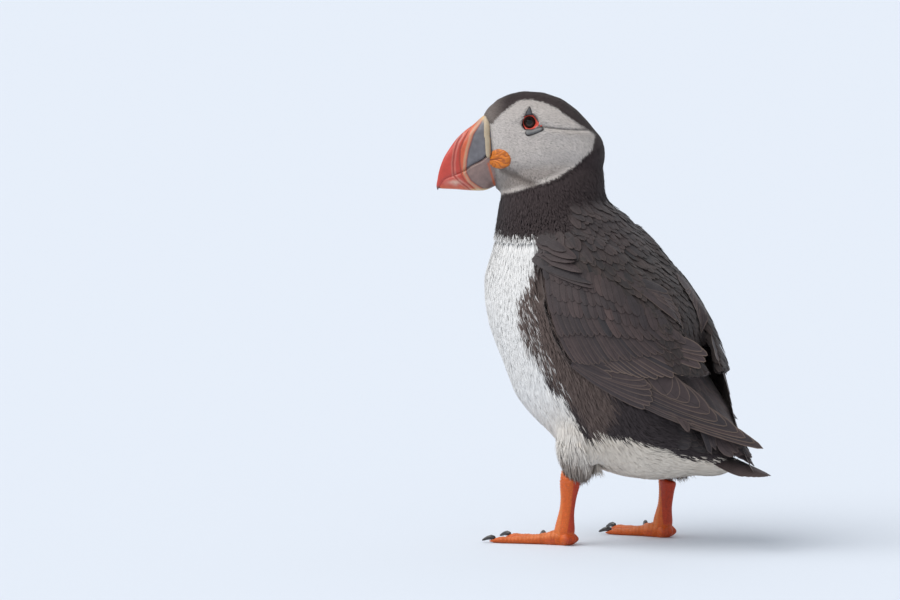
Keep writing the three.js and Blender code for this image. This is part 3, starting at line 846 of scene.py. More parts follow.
def layCoat():
    roots, normals, zone = scattered(skinMesh, zoneOf, ofZones(zones, 0))
    count = len(roots)
    ways = liesAlong(roots, normals)
    across = np.cross(normals, ways)
    pale = (zone == zoneNames.index("breast")) | (zone == zoneNames.index("belly"))
    ways = unit(ways + across * (chance.normal(0, 1, count) * np.where(pale, *coatPlan["sway"]))[:, None])
    legs = (zone == zoneNames.index("thighs"))[:, None] * blend(roots[:, 2:], 52, 42)
    ways = unit(ways - legs * np.array((0, 0, coatPlan["thighDrop"])))
    onHead = roots[:, 2] > coatPlan["headFrom"]
    jitter = chance.normal(0, 1.0, (count, 3)) * np.where(onHead, *coatPlan["jitter"])[:, None]
    reach = ofZones(zones, 1)[zone][:, None]
    kept = ~isBare(roots + ways * reach) & ~isBare(roots + ways * reach * 0.5)
    uneven = chance.normal(0, 1, count) * np.where(pale, *coatPlan["uneven"])
    colors = markings(roots + ways * reach * coatPlan["toneAt"] + jitter) * (1 + uneven)[:, None]
    streak = (zone == zoneNames.index("flank")) & (chance.random(count) < coatPlan["streaks"])
    colors[streak & (inside(sideSpots(roots), streakOutline) > 0)] = tones["streak"]
    depth = coatDepth(roots)
    for name, (density, length, width, lift, uneven, slot) in list(zones.items())[1:]:
        chosen = (zone == zoneNames.index(name)) & kept
        count = int(chosen.sum())
        long = length * (1 + chance.normal(0, coatPlan["vary"], count))
        wide = width * (1 + chance.normal(0, coatPlan["vary"], count))
        high = depth[chosen] * np.clip(chance.normal(lift, uneven, count), 0.3, 1.5)
        tufts(
            "coat" + name.capitalize(), roots[chosen], normals[chosen], ways[chosen], long, wide, high,
            colors[chosen], legs[chosen] * coatPlan["thighHang"],
            coatPlan["paleContrast"] if slot == "plumage_white" else 1.0,
        )


layCoat()

# feathers: closed vanes from root to tip, laid along a surface

blades = {
    "rings": 9,
    "columns": 5,
    "rootWidth": 0.6,
    "blunt": 0.55,  # where the rounded end starts
    "round": 2.2,
    "skew": 0,  # how much wider the inner half is
    "thick": 0.3,
    "tilt": 0.16,
    "camber": 0.03,
    "edging": 0,
    "cells": True,  # on the bake's map a cell for each feather, not a patch where it grows
}
upperSide = 0.6  # of a feather's cell on the map
featherBrown = np.array((0.052, 0.037, 0.038))
wearTint = {"paler": 0.13, "browner": (0.04, 0.0, -0.03)}


def vanes(name, land, roots, tips, width, levels, colors, slot, shape, side=1, replaced=()):
    # levels are the heights of root and tip over the surface; shape holds what the feathers share
    count, rings, columns = len(roots), shape["rings"], shape["columns"]
    loop = 2 * columns - 2
    edgeSpots = np.linspace(-1, 1, columns)
    total = np.linalg.norm(tips - roots, axis=1)
    found = []  # a feather's points, each with its place along, across and in from the rim
    place, facing = land(roots)
    done = 0.0
    for ring in range(rings + 1):
        share = 1 - (1 - ring / rings) ** 1.6
        ahead = onSurface(tips - place, facing)
        if ring:
            left = np.linalg.norm(tips - place, axis=1) * (share - done) / (1 - done)
            place, facing = land(place + ahead * left[:, None])
        done = share
        level = levels[0] + (levels[1] - levels[0]) * share
        if ring == rings:
            found.append((place + facing * level[:, None], total, total * 0, total * 0))
            break
        across = np.cross(facing, ahead)
        narrow = shape["rootWidth"] + (1 - shape["rootWidth"]) * float(blend(share, 0, 0.35))
        end = max(0.0, (share - shape["blunt"]) / (1 - shape["blunt"]))
        half = width / 2 * narrow * (1 - end ** shape["round"]) ** 0.5
        top = []
        for spot in edgeSpots:
            wide = half * (1 + shape["skew"] * (spot * side > 0))
            flat, up = land(place + across * (wide * spot)[:, None])
            high = level - shape["tilt"] * spot * side + shape["camber"] * (1 - spot * spot) * half
            top.append((flat + up * high[:, None], up))
            rim = np.minimum(wide * (1 - abs(spot)), total * (1 - share))
            found.append((top[-1][0], total * share, wide * spot, rim))
        for column in range(columns - 2, 0, -1):
            point, up = top[column]
            under = point - up * shape["thick"]
            found.append((under, total * share, half * edgeSpots[column], total * 0 + 1))
    each = len(found)
    faces = []
    for ring in range(rings):
        for k in range(loop):
            a, b = ring * loop + k, ring * loop + (k + 1) % loop
            if ring == rings - 1:
                faces.append((a, each - 1, b))
            else:
                faces += [(a, a + loop, b + loop), (a, b + loop, b)]
    faces = np.array(faces + [(0, k, k + 1) for k in range(1, loop - 1)])
    points, *measures = (np.stack(values, 1) for values in zip(*found))
    mesh = arrayMesh(name, points.reshape(-1, 3), faces, count, each)
    vane = np.stack(measures, -1)
    mesh.attributes.new("vane", "FLOAT_VECTOR", "POINT").data.foreach_set("vector", vane.ravel())
    toTip = vane[:, :, 0].ravel() / np.repeat(total, each)
    edging = shape["edging"] * (0.25 + 0.75 * toTip**2)
    mesh.attributes.new("edging", "FLOAT", "POINT").data.foreach_set("value", edging)
    # painted shade: a feather is darker towards its root, where the ones above cover it
    setTone(mesh, np.repeat(colors, each, axis=0) * (0.85 + 0.2 * toTip)[:, None])
    flat = np.zeros((each, 2))
    for index in range(each - 1):
        ring, k = divmod(index, loop)
        below = upperSide + (1 - upperSide) * (k - columns + 1) / columns
        flat[index] = ring / rings, below if k >= columns else upperSide * k / (columns - 1)
    flat[each - 1] = 1, upperSide / 2
    corner = flat[faces.ravel()]
    if shape["cells"]:
        grid = math.ceil(math.sqrt(count))
        cell = np.column_stack((np.arange(count) % grid, np.arange(count) // grid))
        corners = (cell[:, None, :] + 0.06 + 0.88 * corner[None]) / grid
    else:
        corners = unwrapPlace(roots)[:, None, :] + (corner - 0.5)[None] * patch
    addMap(mesh, corners.reshape(-1, 2))
    asPiece(name, mesh, finish["vane"], replaced, thin=True)
    print(name, count, len(mesh.polygons))


def featherVariety(count):
    # worn feathers are paler and browner, fresh ones darker and greyer
    wear = chance.normal(0, 1, (count, 1))
    return 1 + wearTint["paler"] * wear + wear * np.array(wearTint["browner"])


def fromSide(spots):
    spots = np.asarray(spots, float)
    return np.column_stack((spots[:, 0] * 0, -spots[:, 0], spots[:, 1]))


def wingSheet(word, side):
    # a smooth sheet through the outside of the folded wing, and how to land points on it
    bm = bmesh.new()
    for nodeName in ("wing_" + word, "primaries_" + word):
        bm.from_mesh(cad[nodeName].data)
    bmesh.ops.remove_doubles(bm, verts=bm.verts, dist=0.01 * mm)
    tree = BVHTree.FromBMesh(bm)
    bm.free()
    f, z = gridOf((24, 48), (-88, 146), (57, 50))
    found = []
    for spotF, spotZ in zip(f, z):
        start = Vector((side * 90, -spotF, spotZ)) * mm
        hit, normal, index, gap = tree.ray_cast(start, Vector((-side, 0, 0)))
        found.append(hit[0] / mm if hit and abs(normal[0]) > 0.35 else np.nan)
    x = np.array(found)
    seen = np.isfinite(x)

    def terms(f, z):
        f, z = (f + 32) / 56, (z - 97) / 49
        return np.column_stack([f**i * z**j for i in range(6) for j in range(6 - i)])

    weights = np.linalg.lstsq(terms(f, z)[seen], x[seen], rcond=None)[0]
    print("wing sheet", word, "off by", np.abs(terms(f, z)[seen] @ weights - x[seen]).mean())

    def land(points):
        f, z, step = -points[:, 1], points[:, 2], 0.2
        x = terms(f, z) @ weights
        slopeF = (terms(f + step, z) @ weights - x) / step
        slopeZ = (terms(f, z + step) @ weights - x) / step
        normal = unit(np.column_stack((np.ones_like(x), slopeF, -slopeZ)) * side)
        return np.column_stack((x, points[:, 1], z)), normal

    return land


# each row: how many, where roots and tips start and end in the side view, width, heights, form and tone
wingRows = {
    "primaries": {
        "count": 11, "width": 8.0, "levels": (-1.9, -1.5), "stack": 0.09, "tone": 1.05,
        "form": dict(blades, edging=0.8, blunt=0.5, round=1.8, skew=1.0),
        "roots": [(-4, 91), (-12, 90), (-20, 91), (-30, 93), (-36, 96)],
        "tips": [
            (-85.6, 52.4), (-82.5, 55.0), (-77.8, 57.8), (-72, 61.5), (-67.1, 65.6), (-62.1, 70.0),
            (-57.5, 73.6), (-52.5, 76.4), (-46, 79),
        ],
    },
    "primaryCoverts": {
        "count": 7, "width": 5.6, "levels": (-1.0, -0.75), "stack": 0.08, "tone": 1.05,
        "form": dict(blades, edging=0.7, skew=0.5),
        "roots": [(-1, 93.5), (-10, 93)],
        "tips": [(-36, 71.5), (-39.5, 74.0), (-40.5, 78), (-38.8, 82.5), (-36.2, 87)],
    },
    "tertials": {
        "count": 4, "width": 7.5, "levels": (-1.1, -0.6), "stack": 0.12, "tone": 1.0, "only": "right",
        "form": dict(blades, edging=0.8),
        "roots": [(-30, 108), (-36, 110)],
        "tips": [(-57, 74), (-58, 80), (-57, 86), (-55, 91)],
    },
    "secondaries": {
        "count": 16, "width": 5.4, "levels": (-0.6, -0.35), "stack": 0.045, "tone": 1.2,
        "form": dict(blades, edging=1.0, skew=0.6),
        "roots": [(-4, 104), (-14, 108), (-26, 108), (-33, 109)],
        "tips": [
            (-20, 91.0), (-26, 89.9), (-32, 88.9), (-38, 87.9), (-44, 87.2), (-49, 87.4), (-53, 88.6),
            (-56, 91.5), (-56.5, 95.5), (-54, 100),
        ],
    },
    "alula": {
        "count": 3, "width": 4.8, "levels": (-0.3, -0.1), "stack": -0.1, "tone": 0.95,
        "form": dict(blades, edging=0.6, tilt=-0.15),
        "roots": [(-1, 99), (-2, 96)],
        "tips": [(-20, 93.5), (-22.5, 90), (-22.5, 86.5)],
    },
    "greaterCoverts": {
        "count": 20, "width": 4.6, "levels": (-0.35, 0.15), "stack": 0.015, "tone": 1.0,
        "form": dict(blades, rings=7, edging=0.35, skew=0.4),
        "roots": [(7.5, 115), (0, 116), (-8, 117), (-18, 116), (-27, 115), (-34, 115)],
        "tips": [
            (-4.5, 94.2), (-9, 93.2), (-14, 94.0), (-23.4, 95.4), (-32.7, 96.6), (-41.8, 98.8), (-48.5, 103.2),
        ],
    },
    "medianCoverts": {
        "count": 17, "width": 4.8, "levels": (-0.05, 0.5), "stack": 0.015, "tone": 0.97,
        "form": dict(blades, rings=6, edging=0.2),
        "roots": [(11.5, 126), (4, 126), (-5, 124), (-16, 122), (-27, 119), (-36, 116)],
        "tips": [(2.5, 107), (-5, 107.6), (-15, 108.2), (-26.5, 106.8), (-38.1, 105.4), (-46, 104.5)],
    },
    "lesserCovertsLow": {
        "count": 15, "width": 5.0, "levels": (0.1, 0.62), "stack": 0.01, "tone": 1.0,
        "form": dict(blades, rings=6, edging=0.12),
        "roots": [(13.5, 134), (6, 133), (-2, 131), (-14, 128), (-26, 124), (-35, 120)],
        "tips": [(7.5, 117.5), (1, 116.8), (-8, 116.2), (-18, 115.2), (-30, 112.5), (-41, 108.5)],
    },
    "lesserCovertsHigh": {
        "count": 14, "width": 5.0, "levels": (0.2, 0.75), "stack": 0.01, "tone": 0.97,
        "form": dict(blades, rings=6, edging=0.1),
        "roots": [(15, 142), (9, 139), (0, 136), (-12, 132), (-24, 127)],
        "tips": [(11, 126), (5, 124.6), (-4, 123.5), (-16, 121.5), (-30, 117)],
    },
    "lesserCovertsTop": {
        "count": 12, "width": 5.0, "levels": (0.3, 0.85), "stack": 0.01, "tone": 0.95,
        "form": dict(blades, rings=6, edging=0.08),
        "roots": [(17, 148), (11, 145), (2, 141), (-9, 137), (-18, 132)],
        "tips": [(14, 134.5), (7, 132.6), (-2, 130.5), (-12, 127.5), (-23, 122)],
    },
}
wingHang = {
    "left": (0.0, 1.0),  # how far a wing's rear hangs and how long it is, behind its bend
    "right": (0.25, 0.93),
    "bend": 38,
    "tuck": 0.3,  # how much closer to the body the hanging part lies
}


def foldWing(word, side):
    sheet = wingSheet(word, side)
    (hang, long), bend = wingHang[word], wingHang["bend"]

    def hung(points):
        points = points.copy()
        points[:, 1] = np.where(points[:, 1] > bend, bend + (points[:, 1] - bend) * long, points[:, 1])
        points[:, 2] -= hang * np.clip(points[:, 1] - bend, 0, None)
        return points

    def land(points):
        spots = points.copy()
        spots[:, 2] += hang * np.clip(points[:, 1] - bend, 0, None)
        spots[:, 1] = np.where(points[:, 1] > bend, bend + (points[:, 1] - bend) / long, points[:, 1])
        spots, normals = sheet(spots)
        closer = side * wingHang["tuck"] * hang * np.clip(points[:, 1] - bend, 0, None)
        return np.column_stack((spots[:, 0] - closer, points[:, 1], points[:, 2])), normals

    for name, row in wingRows.items():
        if row.get("only", word) != word:
            continue
        count = row["count"]
        roots, tips = (fromSide(curve(row[end], np.linspace(0, 1, count))) for end in ("roots", "tips"))
        tips = tips + chance.normal(0, 0.35, (count, 3))
        stack = np.arange(count) * row["stack"]
        levels = (row["levels"][0] + stack * 0.4, row["levels"][1] + stack)
        width = row["width"] * (1 + chance.normal(0, 0.04, count))
        colors = featherBrown * row["tone"] * featherVariety(count)
        roots, tips = (land(hung(ends))[0] for ends in (roots, tips))
        piece = name + word.capitalize()
        replaced = ("primaries_" + word,) if name == "primaries" else ()
        vanes(piece, land, roots, tips, width, levels, colors, "plumage_black", row["form"], side, replaced)


for word, side in sides.items():
    foldWing(word, side)

scaleZones = {  # feathers tried per mm2, their length, width and heights, and the gap between roots
    "none": (0.0, 1, 1, (0, 0), 1),
    "mantle": (1.0, 11.0, 5.0, (-1.2, 0.2), 2.5),
    "scapulars": (1.0, 13.0, 5.4, (-0.9, 0.45), 2.8),
    "rump": (1.0, 10.0, 4.8, (-1.2, 0.3), 2.5),
}
scaleNames = list(scaleZones)
scapularReach = [
    (26, 156), (23, 148), (9, 146), (-2, 143), (-13, 136), (-26, 126), (-38, 112), (-43, 105), (-39, 121),
    (-24, 139), (-9.2, 152), (8, 158),
]
backReach = [
    (30, 150), (10, 158), (16, 170), (0, 172), (-100, 120), (-100, 50), (-45, 57), (-50, 90), (-43, 105),
    (-39, 121), (-24, 139), (-9.2, 152),
]
scaleForm = dict(
    blades, rings=4, columns=3, blunt=0.25, round=1.7, thick=0.2, tilt=0, camber=0.06, edging=0.16,
    cells=False,
)


def scaleZoneOf(points):
    side = sideSpots(points)
    scapular = inside(side, scapularReach)
    reach = np.maximum(inside(side, backReach), scapular)
    onBack = (reach > -2) & (inside(side, whiteOutline) < -2)
    zone = np.where(onBack, scaleNames.index("mantle"), 0)
    zone[onBack & (side[:, 1] < 88)] = scaleNames.index("rump")
    zone[onBack & (scapular > -1) & (np.abs(points[:, 0] - middleX) > 16)] = scaleNames.index("scapulars")
    return zone


def evened(roots, gaps):
    # drops every root that lies closer than its gap to one already kept
    kept, cells, around = [], {}, (-1, 0, 1)
    for index, root in enumerate(roots):
        x, y, z = (int(v // 4) for v in root)
        beside = [(x + i, y + j, z + k) for i in around for j in around for k in around]
        near = [other for cell in beside for other in cells.get(cell, ())]
        if all(((roots[other] - root) ** 2).sum() > gaps[index] ** 2 for other in near):
            kept.append(index)
            cells.setdefault((x, y, z), []).append(index)
    return np.array(kept)


def layScales():
    roots, normals, zone = scattered(outerMesh, scaleZoneOf, ofZones(scaleZones, 0))
    order = chance.permutation(len(roots))
    kept = order[evened(roots[order], ofZones(scaleZones, 4)[zone[order]])]
    roots, normals, zone = roots[kept], normals[kept], zone[kept]
    ways = liesAlong(roots, normals)
    across = np.cross(normals, ways)
    ways = unit(ways + across * chance.normal(0, 0.08, len(roots))[:, None])
    for name, (density, length, width, (low, high), gap) in list(scaleZones.items())[1:]:
        chosen = zone == scaleNames.index(name)
        count = int(chosen.sum())
        long = length * (1 + chance.normal(0, 0.12, count))
        wide = width * (1 + chance.normal(0, 0.1, count))
        start = roots[chosen]
        tips = landOuter(start + ways[chosen] * long[:, None])[0]
        tint = markings(start) * featherVariety(count) * 0.95
        levels = (np.full(count, low), high + chance.normal(0, 0.06, count))
        vanes(name, landOuter, start, tips, wide, levels, tint, "plumage_black", scaleForm)


layScales()

shoulderRows = {
    "shoulder": {
        "count": 6, "width": 6.8, "levels": (0.0, 1.3), "step": -0.25, "ragged": 1.8,
        "out": {"roots": 40, "tips": 40},
        "roots": [(27, 157), (27, 153), (26, 149), (24, 145)],
        "tips": [(4, 153), (0, 147.5), (-4, 140), (-12, 131)],
        "form": dict(blades, rings=7, edging=0.15, tilt=0.7, cells=False, round=1.6),
    },
    "longScapulars": {
        "count": 9, "width": 6.6, "levels": (-0.5, 0.9), "step": 0.05, "ragged": 0.7,
        "out": {"roots": 24, "tips": 8},
        "roots": [(-2, 141), (-10, 144), (-18, 143), (-24, 138)],
        "tips": [(-37, 108), (-41, 106.5), (-43.5, 105), (-43.5, 109), (-41, 114), (-38, 120), (-33, 128)],
        "form": dict(blades, rings=8, edging=0.6, tilt=0.12, camber=0.05, cells=False, round=1.6),
    },
}


def layShoulders(word, side):
    for name, row in shoulderRows.items():
        count = row["count"]
        share = np.linspace(0, 1, count)
        ends = []
        for end in ("roots", "tips"):
            spots = fromSide(curve(row[end], share)) + chance.normal(0, row["ragged"], (count, 3))
            spots[:, 0] = middleX + side * row["out"][end]
            ends.append(landOuter(spots)[0])
        width = row["width"] * (1 + chance.normal(0, 0.08, count))
        levels = [level + share * row["step"] + chance.normal(0, 0.1, count) for level in row["levels"]]
        colors = featherBrown * featherVariety(count)
        piece = name + word.capitalize()
        vanes(piece, landOuter, *ends, width, levels, colors, "plumage_black", row["form"], side)


for word, side in sides.items():
    layShoulders(word, side)

# the long feathers over the rump, which close the gap between the wings

rumpPlan = {
    "line": [  # from the tail up to the back
        (-90, 38.5), (-78, 50), (-72, 56), (-66, 62), (-60, 66.5), (-52, 75), (-40, 89), (-30, 103),
        (-20, 114),
    ],
    "arch": (0.02, 0.07),  # everywhere, and more of it near the tail
    "archFrom": (-56, -68),
    "rows": [  # how many, where roots and tips lie along the body, half the spread of each, and the height
        (8, -60, -82, 6.5, 4.5, -4.0),
        (8, -58, -79, 7.5, 6.0, -2.2),
        (8, -50, -74, 9.0, 9.5, -0.3),
        (11, -42, -66, 13.0, 14.0, 0.4),
        (15, -34, -58, 18.0, 23.5, 0.8),
        (15, -26, -50, 19.0, 24.0, 1.2),
    ],
    "width": 6.5,
    "form": dict(blades, edging=0.3, blunt=0.5, tilt=0.0, camber=0.1, cells=False),
}


def landRump(points):
    x, forward, step = points[:, 0] - middleX, -points[:, 1], 0.5
    line = np.array(rumpPlan["line"])
    height = np.interp(forward, line[:, 0], line[:, 1])
    slope = (np.interp(forward + step, line[:, 0], line[:, 1]) - height) / step
    arch = rumpPlan["arch"][1] * blend(forward, *rumpPlan["archFrom"]) + rumpPlan["arch"][0]
    normal = unit(np.column_stack((2 * arch * x, slope, np.ones(len(x)))))
    return np.column_stack((points[:, 0], points[:, 1], height - arch * x**2)), normal


def layRump():
    for index, (count, rootAt, tipAt, rootHalf, tipHalf, height) in enumerate(rumpPlan["rows"]):
        across = np.linspace(-1, 1, count) + chance.normal(0, 0.03, count)
        back = tipAt + 3.5 * across**2 + chance.normal(0, 0.8, count)
        roots = np.column_stack((middleX + across * rootHalf, across * 0 - rootAt, across * 0))
        tips = np.column_stack((middleX + across * tipHalf, -back, across * 0))
        roots, tips = landRump(roots)[0], landRump(tips)[0]
        colors = featherBrown * 1.1 * featherVariety(count)
        level = height + chance.normal(0, 0.08, count)
        width = np.full(count, rumpPlan["width"])
        vanes(
            "overTail" + str(index + 1), landRump, roots, tips, width, (level, level), colors, "plumage_black",
            rumpPlan["form"],
        )


layRump()

tailPlan = {
    "count": 7,  # on each side
    "width": 7.0,
    "rootX": 4.5,
    "tipX": 8.5,
    "root": (-46, 52.5),
    "tip": (-88.8, 38.6),
    "shorter": 12.0,  # the outermost
    "arch": 0.035,
    "stack": 0.25,
    "form": dict(blades, edging=0.3, blunt=0.6, tilt=0.12, thick=0.45),
}


def landTail(points):
    x, arch = points[:, 0] - middleX, tailPlan["arch"]
    (rootF, rootZ), (tipF, tipZ) = tailPlan["root"], tailPlan["tip"]
    share = (-points[:, 1] - rootF) / (tipF - rootF)
    slope = (tipZ - rootZ) / (rootF - tipF)
    normal = unit(np.column_stack((2 * arch * x, np.full(len(x), -slope), np.ones(len(x)))))
    return np.column_stack((points[:, 0], points[:, 1], rootZ + share * (tipZ - rootZ) - arch * x**2)), normal


def layTail(word, side):
    count = tailPlan["count"]
    share = (np.arange(count) + 0.35) / count
    x = share * side
    roots = np.column_stack((middleX + x * tailPlan["rootX"], share * 0 - tailPlan["root"][0], share * 0))
    back = -tailPlan["tip"][0] - tailPlan["shorter"] * share**2
    tips = np.column_stack((middleX + x * tailPlan["tipX"], back, share * 0))
    roots, tips = landTail(roots)[0], landTail(tips)[0]
    height = -np.arange(count) * tailPlan["stack"]
    width = np.full(count, tailPlan["width"])
    colors = np.tile(featherBrown * 1.1, (count, 1))
    vanes(
        "tail" + word.capitalize(), landTail, roots, tips, width, (height, height), colors, "plumage_black",
        tailPlan["form"], -side, ("tail",) if side > 0 else (),
    )


for word, side in sides.items():
    layTail(word, side)

# bill: two horny halves, each laid round from its lips to its ridge or keel

billPlan = {
    "culmen": [
        (25, 16.9), (31.5, 13.6), (36, 9.6), (40.5, 6.2), (44.5, 2.4), (48, -2.4), (51, -7.3), (53, -12.5),
        (54.2, -18), (54.6, -22.4), (54.1, -23.7),
    ],
    "upperLip": [
        (25, -5.4), (29, -5.5), (32.3, -8.0), (37, -10.5), (41.5, -13.8), (46, -15.8), (50.6, -18.2),
        (52.7, -20.8), (54.1, -23.7),
    ],
    "lowerLip": [
        (24, -5.6), (28.8, -5.6), (32.3, -8.1), (37, -10.6), (41.5, -13.9), (46, -15.9), (50.7, -18.1),
        (52.9, -20.7), (53.7, -22.7),
    ],
    "keel": [
        (23.4, -20.5), (25.6, -21.6), (30, -23.5), (36, -23.8), (41, -23.5), (46, -23.1), (50, -22.95),
        (53.7, -22.7),
    ],
    "halfWidth": (7.6, 1.5),  # at the root and at the hook
    "from": 26,
    "length": 29,
    "frontGroove": [
        (41.4, 6.5), (42.4, 3.6), (44.2, 0.6), (45.6, -4.2), (46.3, -9.7), (46.1, -14.3), (45.9, -16),
        (43.6, -18.6), (39.2, -21.8), (37, -24),
    ],
    "rearGroove": [
        (36.6, 10.5), (38.6, 6), (41.2, 1.3), (42.7, -2.7), (43.0, -8.2), (42.4, -13.2), (42.2, -15.2),
        (40.4, -18.4), (36.4, -21.8), (34, -24),
    ],
    "ridge": [
        (31.6, 14.5), (33.6, 10.8), (37.2, 5.2), (39.6, -2.7), (40.6, -8), (40.8, -12.4), (40.7, -14.8),
        (38.3, -19), (34.9, -21.6), (31, -24),
    ],
    "relief": {  # how high, and half as wide
        "frontGroove": (-0.5, 0.42),
        "rearGroove": (-0.5, 0.42),
        "ridge": (0.28, 0.8),
    },
    "hook": (54.3, -23.4),
    "around": 150,
    "along": 110,
}
hornTones = {
    "red": (0.53, 0.052, 0.034),
    "orange": (0.60, 0.125, 0.036),
    "ridge": (0.50, 0.27, 0.165),
    "slate": (0.150, 0.145, 0.160),
    "mauve": (0.225, 0.148, 0.132),
    "yellow": (0.62, 0.42, 0.20),
    # the bill's red in painted shade, for the grooves
    "groove": (0.26, 0.048, 0.04),
    "tip": (0.09, 0.06, 0.05),
    "scuff": (0.62, 0.36, 0.28),
    "seam": (0.10, 0.03, 0.03),
    "cere": (0.47, 0.38, 0.26),
    "cereEdge": (0.42, 0.20, 0.08),
    "rosette": (0.66, 0.18, 0.006),
    # the rosette's orange in painted shade, for its folds
    "wrinkle": (0.27, 0.052, 0.006),
    "lid": (0.62, 0.055, 0.028),
    "plate": (0.088, 0.090, 0.094),
    "pupil": (0.002, 0.002, 0.002),
    "iris": (0.050, 0.030, 0.024),
    "ball": (0.012, 0.008, 0.007),
}
hornTones = {name: np.array(color) for name, color in hornTones.items()}


def tinted(tone, tints):
    # each tint is the name of a tone and how much of it there is
    for name, amount in tints:
        tone = towards(tone, hornTones[name], amount)
    return tone


def hornTone(spots, upper):
    forward, height = spots.T
    front, rear, band = (lineDistance(spots, billPlan[line]) for line in billPlan["relief"])
    behind = inside(spots, billPlan["ridge"] + [(10, -24), (10, 14.5)])
    past = inside(spots, billPlan["rearGroove"] + [(10, -24), (10, 10.5)])
    speck = mottle(spots, 2.2)
    tone = tinted(hornTones["red"], [("orange", blend(height, -4, 12) * blend(forward, 46, 36) * 0.75)])
    if not upper:
        chafed = hill(forward - 45.5, 4.5) * hill(height + 19.6, 1.5)
        chin = blend(height, -19.5, -23) * 0.8
        tone = tinted(tone, [("orange", chin), ("scuff", chafed * (0.75 + 0.6 * speck))])
    tone = tinted(tone, [
        ("orange", blend(past, -1.2, 0.6) * 0.6),
        ("ridge", np.exp(-((band / 0.7) ** 4)) * 0.9),
        ("scuff", hill(front - 0.75, 0.35) * 0.35),
        # painted shade in the two grooves
        ("groove", hill(front, 0.28) * 0.65),
        ("groove", hill(rear, 0.28) * 0.65),
    ])
    nearHead = hornTones["slate" if upper else "mauve"] * (1 + 0.12 * speck[:, None])
    tone = towards(tone, nearHead, blend(behind, 0.75, 1.25))
    tone = tinted(tone, [("seam", hill(behind - 1.25, 0.3) * 0.6)])
    if upper:
        tone = tinted(tone, [("yellow", blend(height, 10.0, 13.5) * blend(forward, 34, 31))])
    else:
        tone = tinted(tone, [("yellow", blend(height, -22.0, -23.2) * blend(forward, 39, 35))])
        stripe = lineDistance(spots, [(28.8, -9.5), (25.4, -21.4)])
        tone = towards(tone, hornTones["orange"] * 0.8, hill(stripe, 0.5))
    hook = np.hypot(*(spots - billPlan["hook"]).T)
    tone = tinted(tone, [("tip", blend(hook, 2.6, 0.8) * 0.9)])
    return tone * (1 + 0.06 * mottle(spots, 0.9, 5.0)[:, None])


def roundBill(rise):
    # half the width of the bill's cross-section, from its lips up to its ridge
    return (1 - rise**2.8) ** (1 / 2.2)


def billHalf(name, lip, crest, upper, nodeName):
    def sideOf(share):
        # round the half: up one side, down the other, and across between the lips
        t = np.clip(share / 0.45, 0, 2)
        rise = np.sin(np.pi / 2 * np.where(t <= 1, t, 2 - t))
        under = np.clip((share - 0.9) / 0.1, 0, 1)
        side = np.where(share < 0.45, 1.0, -1.0)
        return np.where(share > 0.9, 0, rise), np.where(share > 0.9, 2 * under - 1, side)

    def place(u, v):
        rise, side = sideOf(u)
        station = np.clip((v - 0.01) / 0.99, 0, 1)
        low, high = curve(billPlan[lip], station), curve(billPlan[crest], station)
        spots = low + (high - low) * rise[:, None]
        share = np.clip((spots[:, 0] - billPlan["from"]) / billPlan["length"], 0, 1)
        wide, thin = billPlan["halfWidth"]
        half = (wide + (thin - wide) * share**1.3) * (1 - station**9) ** 0.5
        tall = np.linalg.norm(high - low, axis=1) * rise
        x = half * roundBill(rise) * (1 - 0.16 * hill(tall, 0.7))
        relief = sum(
            deep * hill(lineDistance(spots, billPlan[line]), wide)
            for line, (deep, wide) in billPlan["relief"].items()
        )
        x = x + np.where(np.abs(side) > 0.99, relief * blend(rise, 1.0, 0.93) * blend(tall, 0.0, 1.0), 0)
        start = np.clip(v / 0.01, 0, 1)
        middle = (low + high) / 2
        spots = middle + (spots - middle) * start[:, None]
        return fromHead(spots[:, 0], spots[:, 1], x * side * start)

    mesh = wrapped(name, billPlan["around"], billPlan["along"], place)
    setTone(mesh, hornTone(headSpots(pointsOf(mesh)), upper))
    asPiece(name, mesh, finish["horn"], (nodeName,))
    print(name, len(mesh.polygons))


billHalf("upperMandible", "upperLip", "culmen", True, "bill_upper")
billHalf("lowerMandible", "lowerLip", "keel", False, "bill_lower")

cerePlan = {
    "foot": (28.6, -6.8),
    "top": (29.3, 13.9),
    "bow": 0.5,
    "half": (1.3, 1.55),  # of its width, at the foot and at the top
    "proud": 0.85,
    "width": 7.75,
    "edge": (28.3, 27.6),
}


def cereBand():
    def place(u, v):
        arc = v * 2 - 1
        rise = np.sin(np.pi / 2 * (1 - np.abs(arc)))
        foot, top = np.array(cerePlan["foot"]), np.array(cerePlan["top"])
        spots = foot + (top - foot) * rise[:, None]
        spots[:, 0] += cerePlan["bow"] * np.sin(np.pi * rise) * np.where(rise > 0.5, 1, 0.3)
        x = cerePlan["width"] * roundBill(rise)
        narrow, wide = cerePlan["half"]
        ends = (1 - np.clip((np.abs(arc) - 0.93) / 0.07, 0, 1) ** 2) ** 0.5
        out = unit(np.column_stack((rise**2.2, np.clip(1 - rise**2.4, 0, 1))))
        swell = np.sin(u * 2 * np.pi) * cerePlan["proud"] * ends
        forward = spots[:, 0] + np.cos(u * 2 * np.pi) * (narrow + (wide - narrow) * rise) * ends
        height, side = spots[:, 1] + out[:, 0] * swell, np.where(arc < 0, -1, 1)
        return fromHead(forward, height, (x + out[:, 1] * swell) * side)

    mesh = wrapped("cere", 36, 130, place)
    spots = headSpots(pointsOf(mesh))
    rear, pits = blend(spots[:, 0], *cerePlan["edge"]), blend(mottle(spots, 0.55, 3.0), 0.45, 0.8)
    setTone(mesh, tinted(hornTones["cere"], [("cereEdge", rear * 0.8), ("cereEdge", pits * 0.35)]))
    asPiece("cere", mesh, finish["cere"], ("cere",))


cereBand()

# round the eyes and at the gape

